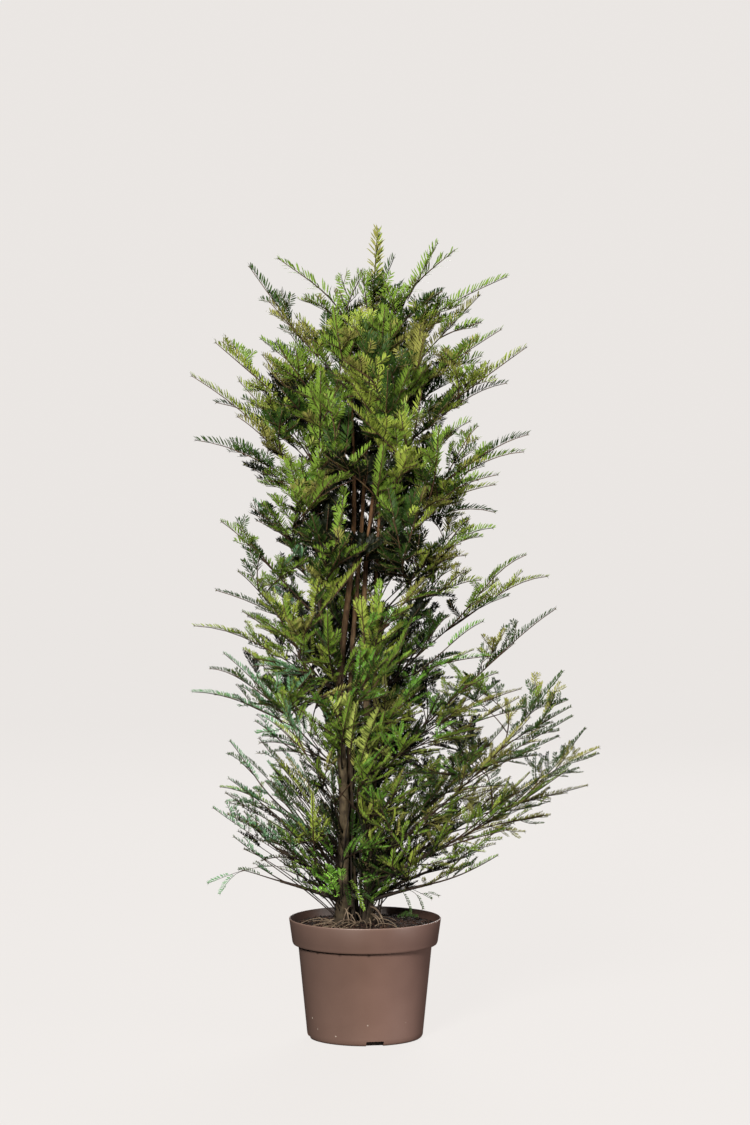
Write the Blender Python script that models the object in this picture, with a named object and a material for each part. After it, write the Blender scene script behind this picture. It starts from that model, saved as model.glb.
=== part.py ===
# A young yew on several stems, in a round nursery pot. Metres, +Z up.
# The origin is the centre of the pot's flat underside, +X is right and +Y is back.

import math
from collections import namedtuple
from random import Random

import bmesh
import bpy
from mathutils import Matrix, Vector
from mathutils.bvhtree import BVHTree

# Room between touching pieces
GAP = 0.0003
SEAT_REACH = 0.1

# Pot: a thin plastic wall that steps out to a band under its rim
POT_HEIGHT = 0.205
RIM_RADIUS = 0.130
BAND_HEIGHT = 0.044
BAND_FOOT_RADIUS = 0.1245
BAND_CHAMFER = 0.004
CHAMFER_SHARE = 0.4
RIM_EDGE = 0.001
NECK_RADIUS = 0.1145
BASE_RADIUS = 0.0985
BASE_ROUNDING = 0.005
ROUNDING_SHARE = 0.3
WALL = 0.0024
FLOOR = 0.003
POT_SEGMENTS = 40

# Drainage notches in the pot's lower edge
NOTCH_COUNT = 4
NOTCH_FIRST_ANGLE = math.radians(10)
NOTCH_WIDTH = 0.030
NOTCH_HEIGHT = 0.0085
NOTCH_DEPTH = 0.012

# Soil: the root ball that fills the pot to a little under its rim
SOIL_DROP = 0.014
SOIL_LEVEL = POT_HEIGHT - SOIL_DROP

# Stems: where each passes, and its radius above the root flare and at the top
STEM_FOOT = SOIL_LEVEL + GAP
STEMS = {
    "stem_left": {
        "route": [(-0.040, -0.005, STEM_FOOT), (-0.036, -0.006, 0.40), (-0.043, -0.006, 0.60),
                  (-0.019, -0.008, 0.88), (-0.026, -0.010, 1.185)],
        "foot": 0.0115, "top": 0.0017, "flare": 0.0050,
    },
    "stem_middle": {
        "route": [(-0.020, 0.017, STEM_FOOT), (-0.024, 0.014, 0.36), (-0.025, 0.012, 0.60),
                  (-0.004, 0.007, 0.90), (0.013, 0.002, 1.235)],
        "foot": 0.0080, "top": 0.0017, "flare": 0.0030,
    },
    "stem_right": {
        "route": [(0.003, -0.006, STEM_FOOT), (0.007, -0.004, 0.45), (-0.002, -0.004, 0.72),
                  (0.013, -0.006, 0.92), (0.058, -0.012, 1.225)],
        "foot": 0.0075, "top": 0.0017, "flare": 0.0035,
    },
    "stem_back": {
        "route": [(0.008, 0.019, STEM_FOOT), (0.016, 0.020, 0.50), (0.019, 0.018, 0.79),
                  (0.034, 0.024, 1.04)],
        "foot": 0.0060, "top": 0.0017, "flare": 0.0025,
    },
}
FLARE_HEIGHT = 0.016
FLARE_RING = 0.25
STEM_TAPER = 1.1
STEM_SIDES = 10
STEM_RINGS = 9

# Left limb of the fork: it swings out from its stem, then runs up beside the others
LEFT_LIMB = {
    "stem": "stem_left", "height": 0.655, "compass": 180, "rise": 58, "radius": 0.0045,
    "bend": 0.035, "middle": (-0.033, 0.004, 0.13), "end": (-0.030, 0.008, 0.28),
    "tip": 0.5, "rings": 9,
}

# Boughs: each leaves a stem at a height, towards a compass angle, at a rise above level,
# with a length and a radius
BOUGHS = {
    "bough_right_low_front": ("stem_right", 0.236, -21, 20, 0.115, 0.0036),
    "bough_right_low_back": ("stem_back", 0.240, 22, 22, 0.115, 0.0034),
    "bough_right_mid_front": ("stem_right", 0.258, -20, 33, 0.150, 0.0040),
    "bough_right_mid_back": ("stem_back", 0.262, 20, 33, 0.150, 0.0038),
    "bough_right_high_front": ("stem_right", 0.292, -23, 44, 0.150, 0.0040),
    "bough_right_high_back": ("stem_back", 0.296, 22, 45, 0.150, 0.0036),
    "bough_left_low": ("stem_left", 0.238, 184, 21, 0.100, 0.0036),
    "bough_left_mid": ("stem_left", 0.262, 171, 33, 0.115, 0.0045),
    "bough_left_high": ("stem_left", 0.318, 188, 42, 0.110, 0.0034),
}
BOUGH_SIDES = 6
BOUGH_RINGS = 5
BOUGH_TIP = 0.62
BOUGH_ARCH = 0.05

# Crown: slanted tiers round the stems, each border a height on the axis and a slope outwards
CROWN_AXIS = (-0.005, 0.004)
BORDERS = [(0.200, 0.20), (0.235, 0.45), (0.280, 0.75), (0.370, 0.80), (0.500, 0.85),
           (0.630, 0.85), (0.760, 0.88), (0.890, 0.95), (1.020, 1.05), (1.140, 1.10)]
REACH_SLACK = 0.001
TOP_REACH = 0.170
WALL_RISE = 0.02
LOWEST_WALL = STEM_FOOT + 0.03

# Reach of each tier from the axis, and how high in the tier its tip lies
FOLIAGE = {
    "right": [(0.275, 0.75), (0.412, 0.46), (0.345, 0.55), (0.325, 0.68), (0.312, 0.25),
              (0.230, 0.75), (0.278, 0.22), (0.275, 0.22), (0.245, 0.22)],
    "left": [(0.265, 0.45), (0.250, 0.65), (0.298, 0.82), (0.292, 0.72), (0.252, 0.38),
             (0.250, 0.35), (0.298, 0.66), (0.255, 0.36), (0.200, 0.50)],
    "front": [None, (0.170, 0.50), (0.210, 0.45), (0.200, 0.50), (0.215, 0.45),
              (0.200, 0.50), (0.205, 0.50), (0.190, 0.45), (0.150, 0.50)],
    "back": [(0.190, 0.60), (0.230, 0.50), (0.255, 0.55), (0.245, 0.45), (0.230, 0.55),
             (0.215, 0.45), (0.215, 0.50), (0.200, 0.50), (0.160, 0.50)],
}
COMPASS = {"right": 0, "back": 90, "left": 180, "front": 270}
SWING = {"right": 7, "back": 24, "left": 7, "front": 24}

# The low tiers on the right are a fan of two masses, swung apart
FAN_SWING = (17, 8, 17)
BACK_FAN_REACH = 0.9

# Masses that grow on from a limb's tip, the others leaving a stem's side
ON_LIMB_TIP = {
    "right_front_0": "bough_right_low_front", "right_back_0": "bough_right_low_back",
    "right_front_1": "bough_right_mid_front", "right_back_1": "bough_right_mid_back",
    "right_front_2": "bough_right_high_front", "right_back_2": "bough_right_high_back",
    "left_0": "bough_left_low", "left_1": "bough_left_mid", "left_2": "bough_left_high",
    "left_6": "limb_left", "back_7": "stem_back",
}

# Top shoots: the tip of each, and the room it has sideways
TOPS = {
    "leader": ("stem_middle", (0.021, 0.000, 1.383), (-0.014, 0.050)),
    "top_left": ("stem_left", (-0.146, -0.030, 1.333), (-1.0, -0.014)),
    "top_right": ("stem_right", (0.150, -0.022, 1.346), (0.050, 1.0)),
}

# Twigs: the stem of a mass is the thickest, and side twigs leave it at even stations
TWIG_SIDES = 3
TWIG_RADIUS = 0.0022
SIDE_TWIG_SHARE = 0.8
TWIG_TIP = 0.0010
MASS_STEM_RINGS = 4
MASS_STEM_SHARE = 0.35
TWIG_STEP = 0.031
FEWEST_TWIGS = 2
FIRST_STATION = 0.35
LAST_STATION = 0.05
TWIG_REACH = (0.24, 0.34)
TWIG_REACH_LOW = 1.15
TWIG_REACH_FALL = 0.6
TWIG_SPREAD = (38, 72)
TWIG_LEAN = (-38, 62)
TWIG_TRIES = 6

# Sprays: a toothed blade, three or four teeth to a side
SPRAY_LENGTH = 0.155
SPRAY_LENGTHS = (0.88, 1.1)
SPRAY_HALF_WIDTH = 0.031
SPRAY_TEETH = 3
TIP_HALF_WIDTH = 0.022
TIP_TEETH = 4
TIP_ROLL = 20
SPRAY_ROLL = 65
SPRAY_STALK = 0.008
SPRAY_RIDGE = 0.0017
RIDGE_FALL = 0.4
SPRAY_SWEEP = 1.05
SPRAY_LAST_SWEEP = 0.70
SPRAY_FIRST_NOTCH = 0.30
SPRAY_NOTCH = 0.55
SPRAY_NARROWING = 0.45
SPRAY_LIFT = 0.12
SIDE_SPRAY_PLACE = 0.6
SIDE_SPRAY_LENGTH = 0.75
SIDE_SPRAY_WIDTH = 0.9
SIDE_SPRAY_AHEAD = 0.72
SIDE_SPRAY_ASIDE = 0.70

# What is tried where a twig doesn't fit, and the room it keeps
SHRINKS = (1.0, 0.88, 0.76, 0.64, 0.52, 0.42)
SHORTEST_SPRAY = 0.055
SHORTEST_TWIG = 0.018
EDGE_MARGIN = 0.0006
ROOF_MARGIN = 0.0025
LIMB_CLEARANCE = 0.0008

UP = Vector((0, 0, 1))
Limb = namedtuple("Limb", "points tangents radii sides")
Cell = namedtuple("Cell", "floor roof walls reach")
Shape = namedtuple("Shape", "verts faces")


def clear_scene():
    for scene_object in list(bpy.data.objects):
        bpy.data.objects.remove(scene_object, do_unlink=True)


def make_material(name, colour, roughness):
    material = bpy.data.materials.new(name)
    material.use_nodes = True
    shader = material.node_tree.nodes["Principled BSDF"]
    shader.inputs["Base Color"].default_value = (*colour, 1.0)
    shader.inputs["Roughness"].default_value = roughness
    shader.inputs["Metallic"].default_value = 0.0
    return material


def add_object(name, mesh, material):
    mesh.materials.clear()
    mesh.materials.append(material)
    new_object = bpy.data.objects.new(name, mesh)
    bpy.context.scene.collection.objects.link(new_object)
    return new_object


def mesh_from_shape(name, shape):
    mesh = bpy.data.meshes.new(name)
    build = bmesh.new()
    verts = [build.verts.new(point) for point in shape.verts]
    for face in shape.faces:
        build.faces.new([verts[index] for index in face])
    bmesh.ops.recalc_face_normals(build, faces=build.faces)
    build.to_mesh(mesh)
    build.free()
    return mesh


# Turned pieces

def turned_mesh(name, profile):
    """A closed profile of (radius, height) points turned round the Z axis."""
    build = bmesh.new()
    verts = [build.verts.new((radius, 0, height)) for radius, height in profile]
    edges = [build.edges.new(pair) for pair in zip(verts, verts[1:])]
    bmesh.ops.spin(build, geom=verts + edges, cent=(0, 0, 0), axis=(0, 0, 1),
                   angle=math.tau, steps=POT_SEGMENTS, use_merge=True)
    bmesh.ops.remove_doubles(build, verts=build.verts, dist=0.00001)
    bmesh.ops.recalc_face_normals(build, faces=build.faces)
    mesh = bpy.data.meshes.new(name)
    build.to_mesh(mesh)
    build.free()
    return mesh


def pot_radius(height):
    """The pot wall's outer radius under the band."""
    neck = POT_HEIGHT - BAND_HEIGHT
    return BASE_RADIUS + (NECK_RADIUS - BASE_RADIUS) * height / neck


def make_pot(material):
    neck = POT_HEIGHT - BAND_HEIGHT
    lip = neck + BAND_CHAMFER
    rounding = BASE_ROUNDING * ROUNDING_SHARE
    outside = [(0, 0), (BASE_RADIUS - BASE_ROUNDING, 0), (BASE_RADIUS - rounding, rounding),
               (pot_radius(BASE_ROUNDING), BASE_ROUNDING), (NECK_RADIUS, neck),
               (BAND_FOOT_RADIUS - BAND_CHAMFER * CHAMFER_SHARE, neck),
               (BAND_FOOT_RADIUS, lip), (RIM_RADIUS, POT_HEIGHT - RIM_EDGE),
               (RIM_RADIUS - RIM_EDGE, POT_HEIGHT)]
    inside = [(RIM_RADIUS - WALL, POT_HEIGHT), (BAND_FOOT_RADIUS - WALL, lip + WALL),
              (NECK_RADIUS - WALL, neck + WALL), (pot_radius(FLOOR) - WALL, FLOOR), (0, FLOOR)]
    pot = add_object("pot", turned_mesh("pot", outside + inside), material)
    cutters = bpy.data.collections.new("notch cutters")
    bpy.context.scene.collection.children.link(cutters)
    for notch in range(NOTCH_COUNT):
        angle = NOTCH_FIRST_ANGLE + notch * math.tau / NOTCH_COUNT
        build = bmesh.new()
        size = Matrix.Diagonal((NOTCH_DEPTH * 2, NOTCH_WIDTH, NOTCH_HEIGHT * 2, 1))
        place = Matrix.Rotation(angle, 4, "Z") @ Matrix.Translation((BASE_RADIUS, 0, 0)) @ size
        bmesh.ops.create_cube(build, size=1.0, matrix=place)
        mesh = bpy.data.meshes.new("notch cutter")
        build.to_mesh(mesh)
        build.free()
        cutters.objects.link(bpy.data.objects.new("notch cutter", mesh))
    apply_boolean(pot, cutters, "DIFFERENCE")


def make_soil(material):
    neck = POT_HEIGHT - BAND_HEIGHT
    inset = WALL + GAP
    lip = neck + BAND_CHAMFER
    top_radius = BAND_FOOT_RADIUS + (RIM_RADIUS - BAND_FOOT_RADIUS) * (
        (SOIL_LEVEL - lip) / (POT_HEIGHT - lip)) - inset
    profile = [(0, FLOOR + GAP), (pot_radius(FLOOR) - inset - GAP, FLOOR + GAP),
               (NECK_RADIUS - inset, neck + WALL + GAP),
               (BAND_FOOT_RADIUS - inset - GAP, lip + WALL + GAP),
               (top_radius - GAP, SOIL_LEVEL), (0, SOIL_LEVEL)]
    add_object("soil", turned_mesh("soil", profile), material)


def apply_boolean(target, operands, operation):
    """Run one Boolean with a collection, keep its result and remove the operands."""
    modifier = target.modifiers.new("join", "BOOLEAN")
    modifier.operand_type = "COLLECTION"
    modifier.collection = operands
    modifier.operation = operation
    modifier.solver = "EXACT"
    view = bpy.context.evaluated_depsgraph_get()
    result = bpy.data.meshes.new_from_object(target.evaluated_get(view))
    target.modifiers.clear()
    target.data = result
    for operand in list(operands.objects):
        bpy.data.objects.remove(operand, do_unlink=True)
    bpy.data.collections.remove(operands)


# Limbs

def spline(route, count):
    """Points and directions along a smooth curve through the route."""
    knots = [Vector(point) for point in route]
    knots = [knots[0] * 2 - knots[1]] + knots + [knots[-1] * 2 - knots[-2]]
    spans = len(knots) - 3
    points, tangents = [], []
    for step in range(count):
        place = spans * step / (count - 1)
        span = min(int(place), spans - 1)
        t = place - span
        a, b, c, d = knots[span:span + 4]
        points.append(0.5 * ((2 * b) + (c - a) * t + (2 * a - 5 * b + 4 * c - d) * t ** 2
                             + (3 * b - a - 3 * c + d) * t ** 3))
        tangents.append((0.5 * ((c - a) + (2 * a - 5 * b + 4 * c - d) * 2 * t
                                + (3 * b - a - 3 * c + d) * 3 * t ** 2)).normalized())
    return points, tangents


def arc_path(start, heading, end, count):
    """Points and directions along a curve that leaves along a heading and ends at a point."""
    reach = (end - start).length
    bend = start + heading * reach * 0.5
    points, tangents = [], []
    for step in range(count):
        t = step / (count - 1)
        points.append(start * (1 - t) ** 2 + bend * 2 * t * (1 - t) + end * t ** 2)
        tangents.append(((bend - start) * (1 - t) + (end - bend) * t).normalized())
    return points, tangents


def ring_axes(tangent):
    """The two directions across a limb, the first as near upwards as can be."""
    hint = UP if abs(tangent.z) < 0.99 else Vector((0, -1, 0))
    first = (hint - tangent * hint.dot(tangent)).normalized()
    return first, tangent.cross(first)


def limb_shape(limb, swell=0.0):
    """A closed tube along a limb, swollen all round by a margin."""
    verts, faces = [], []
    for point, tangent, radius in zip(limb.points, limb.tangents, limb.radii):
        first, second = ring_axes(tangent)
        for side in range(limb.sides):
            angle = math.tau * side / limb.sides
            across = first * math.cos(angle) + second * math.sin(angle)
            verts.append(point + across * (radius + swell))
    for ring in range(len(limb.points) - 1):
        for side in range(limb.sides):
            near = ring * limb.sides
            turn = (side + 1) % limb.sides
            faces.append((near + side, near + turn, near + limb.sides + turn,
                          near + limb.sides + side))
    faces.append(tuple(range(limb.sides)))
    faces.append(tuple(range(len(verts) - limb.sides, len(verts))))
    return Shape(verts, faces)


def centre_at(limb, height):
    """The centre of a rising limb at a height, or None past its ends."""
    for low, high in zip(limb.points, limb.points[1:]):
        if low.z <= height <= high.z:
            return low.lerp(high, (height - low.z) / (high.z - low.z))
    return None


def stem_radius(size, share, height):
    """A stem's radius at a share of its length, with the root flare close to the soil."""
    taper = size["top"] + (size["foot"] - size["top"]) * (1 - share) ** STEM_TAPER
    return taper + size["flare"] * math.exp(-(height - STEM_FOOT) / FLARE_HEIGHT)


def grow_stem(size):
    points, tangents = spline(size["route"], STEM_RINGS)
    tangents[0] = UP.copy()
    shares = [ring / (STEM_RINGS - 1) for ring in range(STEM_RINGS)]
    points.insert(1, points[0].lerp(points[1], FLARE_RING))
    tangents.insert(1, tangents[1])
    shares.insert(1, 0.0)
    radii = [stem_radius(size, share, point.z) for share, point in zip(shares, points)]
    return Limb(points, tangents, radii, STEM_SIDES)


def heading_of(compass, rise):
    """The direction at a compass angle and a rise, both in degrees."""
    turn, lift = math.radians(compass), math.radians(rise)
    return Vector((math.cos(turn) * math.cos(lift), math.sin(turn) * math.cos(lift),
                   math.sin(lift)))


def seat_on(limb, height, heading, radius):
    """The centre of a round end whose upper corner stands just clear of a limb's side."""
    level = Vector((heading.x, heading.y, 0)).normalized()
    centre = centre_at(limb, height + radius * heading.xy.length)
    bark = BVHTree.FromPolygons(*limb_shape(limb))
    edge, _, _, _ = bark.ray_cast(centre + level * SEAT_REACH, -level)
    return Vector((edge.x, edge.y, height)) + level * (GAP + radius * heading.z)


def grow_bough(stems, size):
    stem, height, compass, rise, length, radius = size
    heading = heading_of(compass, rise)
    start = seat_on(stems[stem], height, heading, radius)
    end = start + heading * length - UP * length * BOUGH_ARCH
    points, tangents = arc_path(start, heading, end, BOUGH_RINGS)
    radii = [radius * (1 + (BOUGH_TIP - 1) * ring / (BOUGH_RINGS - 1))
             for ring in range(BOUGH_RINGS)]
    return Limb(points, tangents, radii, BOUGH_SIDES)


def grow_left_limb(stems):
    size = LEFT_LIMB
    heading = heading_of(size["compass"], size["rise"])
    start = seat_on(stems[size["stem"]], size["height"], heading, size["radius"])
    route = [start, start + heading * size["bend"], start + Vector(size["middle"]),
             start + Vector(size["end"])]
    rings = size["rings"]
    points, tangents = spline(route, rings)
    tangents[0] = heading
    radii = [size["radius"] * (1 + (size["tip"] - 1) * ring / (rings - 1))
             for ring in range(rings)]
    return Limb(points, tangents, radii, BOUGH_SIDES)


# Cells of the crown

def inside(cell, point, margin):
    """True where a point lies in a cell, clear of its borders."""
    radius = math.hypot(point.x - CROWN_AXIS[0], point.y - CROWN_AXIS[1])
    if radius > cell.reach:
        return False
    low, low_slope = cell.floor
    high, high_slope = cell.roof
    if point.z - low - low_slope * radius < margin * math.hypot(1, low_slope):
        return False
    if high + high_slope * radius - point.z < (margin + ROOF_MARGIN) * math.hypot(1, high_slope):
        return False
    return all((point.xy - edge).dot(across) > margin for edge, across in cell.walls)


def outermost(limbs, height, compass):
    """The stem that lies furthest towards a compass angle at a height, and its centre there."""
    towards = heading_of(compass, 0)
    there = [(limb, centre_at(limb, height)) for limb in limbs if centre_at(limb, height)]
    return max(there, key=lambda found: found[1].dot(towards))


def cell_walls(side, left, right):
    """The upright borders of one side's cell, from the outer stems at its height."""
    diagonal = math.sqrt(0.5)
    across = (right - left).normalized()
    back = Vector((-across.y, across.x))
    left_front, left_back = Vector((-diagonal, -diagonal)), Vector((-diagonal, diagonal))
    right_front, right_back = Vector((diagonal, -diagonal)), Vector((diagonal, diagonal))
    if side == "left":
        return [(left, left_front), (left, left_back)]
    if side == "front":
        return [(left, -back), (left, -left_back), (right, -right_back)]
    if side == "back":
        return [(left, back), (left, -left_front), (right, -right_front)]
    if side == "right":
        return [(right, right_front), (right, right_back)]
    if side == "right_front":
        return [(right, right_back), (right, Vector((0, -1)))]
    return [(right, right_front), (right, Vector((0, 1)))]


# Sprays of needles

def spray_frame(forward, roll):
    """The three directions of a spray, turned by a roll about its length."""
    normal, _ = ring_axes(forward)
    turn = Matrix.Rotation(roll, 3, forward)
    normal = turn @ normal
    return forward, forward.cross(normal), normal


def spray_shape(start, frame, length, half_width, teeth):
    """A toothed blade with a ridge on both faces, its root a point on the twig."""
    forward, across, normal = frame
    step = (length - SPRAY_STALK) / teeth

    def place(along, aside, above):
        return start + forward * along + across * aside + normal * above

    verts = [place(0, 0, 0)]
    faces = []
    end = 1 + 6 * teeth
    for tooth in range(teeth):
        share = tooth / teeth
        along = SPRAY_STALK + step * tooth
        width = half_width * (1 - SPRAY_NARROWING * share ** 2)
        notch = width * (SPRAY_FIRST_NOTCH if tooth == 0 else SPRAY_NOTCH)
        ridge = SPRAY_RIDGE * (1 - RIDGE_FALL * share)
        sweep = SPRAY_SWEEP if tooth < teeth - 1 else SPRAY_LAST_SWEEP
        verts += [place(along, 0, ridge), place(along, 0, -ridge)]
        for side in (1, -1):
            verts.append(place(along, side * notch, 0))
            verts.append(place(along + step * sweep, side * width, width * SPRAY_LIFT))
    verts.append(place(length, 0, 0))
    for tooth in range(teeth):
        top, under = 1 + 6 * tooth, 2 + 6 * tooth
        last = tooth == teeth - 1
        for notch in (3 + 6 * tooth, 5 + 6 * tooth):
            tip = notch + 1
            next_notch = end if last else notch + 6
            for ridge in (top, under):
                if tooth == 0:
                    faces.append((0, notch, ridge))
                faces.append((ridge, notch, tip))
                faces.append((ridge, tip, next_notch))
                if not last:
                    faces.append((ridge, next_notch, ridge + 6))
    return Shape(verts, faces)


# Masses of foliage

def twig_limb(start, heading, end, radius, rings):
    points, tangents = arc_path(start, heading, end, rings)
    radii = [radius + (TWIG_TIP - radius) * ring / (rings - 1) for ring in range(rings)]
    return Limb(points, tangents, radii, TWIG_SIDES)


def fits(cell, shape, keep_out):
    """True where a shape stays in its cell and touches no limb."""
    if not all(inside(cell, vert, EDGE_MARGIN) for vert in shape.verts):
        return False
    tree = BVHTree.FromPolygons(shape.verts, shape.faces)
    return not tree.overlap(keep_out)


def grow_spray(cell, keep_out, root, forward, roll, length, half_width, teeth):
    """One spray of needles, or None where it would leave the cell or touch a limb."""
    if length < SHORTEST_SPRAY:
        return None
    shape = spray_shape(root, spray_frame(forward, roll), length, half_width, teeth)
    return shape if fits(cell, shape, keep_out) else None


def grow_twig(name, station, stem, share, cell, keep_out, reach):
    """A side twig with a spray at its end and one on its side, as long as its cell lets it be."""
    draw = Random(f"{name} twig {station}")
    place = share * (len(stem.points) - 1)
    ring = min(int(place), len(stem.points) - 2)
    root = stem.points[ring].lerp(stem.points[ring + 1], place - ring)
    along = stem.tangents[ring].lerp(stem.tangents[ring + 1], place - ring).normalized()
    upward, sideways = ring_axes(along)
    if station % 2:
        sideways = -sideways
    twig_length = reach * draw.uniform(*TWIG_REACH) * (TWIG_REACH_LOW - TWIG_REACH_FALL * share)
    spray_length = SPRAY_LENGTH * draw.uniform(*SPRAY_LENGTHS)
    tries = [(math.radians(draw.uniform(*TWIG_SPREAD)), math.radians(draw.uniform(*TWIG_LEAN)),
              math.radians(draw.uniform(-SPRAY_ROLL, SPRAY_ROLL))) for _ in range(TWIG_TRIES)]
    for shrink in SHRINKS:
        for spread, lean, roll in tries:
            outward = sideways * math.cos(lean) + upward * math.sin(lean)
            heading = along * math.cos(spread) + outward * math.sin(spread)
            end = root + heading * max(twig_length * shrink, SHORTEST_TWIG)
            twig = twig_limb(root, heading, end, TWIG_RADIUS * SIDE_TWIG_SHARE, 2)
            wood = limb_shape(twig)
            if BVHTree.FromPolygons(wood.verts, wood.faces).overlap(keep_out):
                continue
            tip_spray = grow_spray(cell, keep_out, end - heading * SPRAY_STALK, heading, roll,
                                   spray_length * shrink, SPRAY_HALF_WIDTH, SPRAY_TEETH)
            if tip_spray is None:
                continue
            aside = spray_frame(heading, roll)[1] * draw.choice((-1, 1))
            turned = (heading * SIDE_SPRAY_AHEAD + aside * SIDE_SPRAY_ASIDE).normalized()
            side_spray = grow_spray(cell, keep_out, root.lerp(end, SIDE_SPRAY_PLACE), turned,
                                    roll, spray_length * shrink * SIDE_SPRAY_LENGTH,
                                    SPRAY_HALF_WIDTH * SIDE_SPRAY_WIDTH, SPRAY_TEETH)
            return [wood, tip_spray] + ([side_spray] if side_spray else [])
    return []


def fuse(name, shapes, material):
    """Join the shapes of one mass into one closed body."""
    operands = bpy.data.collections.new(name + " twigs")
    bpy.context.scene.collection.children.link(operands)
    for shape in shapes[1:]:
        operands.objects.link(bpy.data.objects.new(name + " twig", mesh_from_shape(name, shape)))
    mass = add_object(name, mesh_from_shape(name, shapes[0]), material)
    apply_boolean(mass, operands, "UNION")


def grow_mass(name, cell, start, heading, tip, keep_out, material):
    """A mass of foliage: one stem from a limb, twigs along it and sprays on them."""
    draw = Random(name)
    reach = (tip - start).length
    spray_root = start.lerp(tip, max(MASS_STEM_SHARE, 1 - SPRAY_LENGTH / reach))
    stem = twig_limb(start, heading, spray_root, TWIG_RADIUS, MASS_STEM_RINGS)
    forward = (tip - spray_root).normalized()
    root = spray_root - forward * SPRAY_STALK
    shapes = [limb_shape(stem)]
    rolls = [math.radians(draw.uniform(TIP_ROLL, SPRAY_ROLL) * draw.choice((-1, 1)))
             for _ in range(TWIG_TRIES)]
    for roll in rolls:
        tip_spray = grow_spray(cell, keep_out, root, forward, roll, (tip - root).length,
                               TIP_HALF_WIDTH, TIP_TEETH)
        if tip_spray:
            shapes.append(tip_spray)
            break
    stations = max(FEWEST_TWIGS, round((spray_root - start).length / TWIG_STEP))
    for station in range(stations):
        share = (station + FIRST_STATION) / (stations - LAST_STATION)
        shapes += grow_twig(name, station, stem, share, cell, keep_out, reach)
    fuse("foliage_" + name, shapes, material)


def tier_height(border, radius):
    height, slope = BORDERS[border]
    return height + slope * radius


def masses_of(side, tier):
    """The name, walls, compass angle and reach of each mass on one side of a tier."""
    reach = FOLIAGE[side][tier][0]
    if side == "right" and tier < len(FAN_SWING):
        swing = FAN_SWING[tier]
        return [(f"right_front_{tier}", "right_front", -swing, reach),
                (f"right_back_{tier}", "right_back", swing, reach * BACK_FAN_REACH)]
    name = f"{side}_{tier}"
    swing = Random(name + " swing").uniform(-SWING[side], SWING[side])
    return [(name, side, COMPASS[side] + swing, reach)]


def root_of(name, tier, compass, limbs, stands):
    """Where a mass leaves its limb, and its direction there."""
    if name in ON_LIMB_TIP:
        limb = stands[ON_LIMB_TIP[name]]
        heading = limb.tangents[-1]
        return limb.points[-1] + heading * GAP, heading
    (low, low_slope), (high, high_slope) = BORDERS[tier:tier + 2]
    heading = heading_of(compass, math.degrees(math.atan((low_slope + high_slope) / 2)))
    height = (low + high) / 2 + WALL_RISE
    limb, _ = outermost(limbs, height, compass)
    return seat_on(limb, height, heading, TWIG_RADIUS), heading


def grow_tier(tier, limbs, stands, keep_out, material):
    """The masses between two borders, one or two to each side of the stems."""
    height = max((BORDERS[tier][0] + BORDERS[tier + 1][0]) / 2 + WALL_RISE, LOWEST_WALL)
    left = outermost(limbs, height, COMPASS["left"])[1].xy
    right = outermost(limbs, height, COMPASS["right"])[1].xy
    for side, sizes in FOLIAGE.items():
        if sizes[tier] is None:
            continue
        lift = sizes[tier][1]
        for name, part, compass, reach in masses_of(side, tier):
            cell = Cell(BORDERS[tier], BORDERS[tier + 1], cell_walls(part, left, right),
                        reach + REACH_SLACK)
            low, high = tier_height(tier, reach), tier_height(tier + 1, reach)
            tip = heading_of(compass, 0) * reach + Vector((*CROWN_AXIS, low + (high - low) * lift))
            start, heading = root_of(name, tier, compass, limbs, stands)
            grow_mass(name, cell, start, heading, tip, keep_out, material)


def grow_top(name, size, stands, keep_out, material):
    """A shoot that goes on up from a stem's tip."""
    stem, tip, (low, high) = size
    walls = [(Vector((low, 0)), Vector((1, 0))), (Vector((high, 0)), Vector((-1, 0)))]
    roof = (tip[2] + ROOF_MARGIN + REACH_SLACK, 0.0)
    heading = stands[stem].tangents[-1]
    start = stands[stem].points[-1] + heading * GAP
    grow_mass(name, Cell(BORDERS[-1], roof, walls, TOP_REACH), start, heading, Vector(tip),
              keep_out, material)


def main():
    clear_scene()
    make_pot(make_material("pot plastic", (0.24, 0.15, 0.12), 0.45))
    make_soil(make_material("soil", (0.035, 0.018, 0.010), 0.95))
    bark = make_material("bark", (0.13, 0.08, 0.05), 0.85)
    young_bark = make_material("young bark", (0.25, 0.15, 0.08), 0.80)
    needles = make_material("needles", (0.09, 0.15, 0.03), 0.60)
    stems = {name: grow_stem(size) for name, size in STEMS.items()}
    boughs = {name: grow_bough(stems, size) for name, size in BOUGHS.items()}
    boughs["limb_left"] = grow_left_limb(stems)
    stands = {**stems, **boughs}
    verts, faces = [], []
    for name, limb in stands.items():
        add_object(name, mesh_from_shape(name, limb_shape(limb)),
                   bark if name in stems else young_bark)
        swollen = limb_shape(limb, LIMB_CLEARANCE)
        faces += [tuple(index + len(verts) for index in face) for face in swollen.faces]
        verts += swollen.verts
    keep_out = BVHTree.FromPolygons(verts, faces)
    crown_limbs = list(stems.values()) + [boughs["limb_left"]]
    for tier in range(len(BORDERS) - 1):
        grow_tier(tier, crown_limbs, stands, keep_out, needles)
    for name, size in TOPS.items():
        grow_top(name, size, stands, keep_out, needles)


main()
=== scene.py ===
import math
from collections import namedtuple
from random import Random

import bmesh
import bpy
import numpy as np
from mathutils import Matrix, Vector, noise


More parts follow.
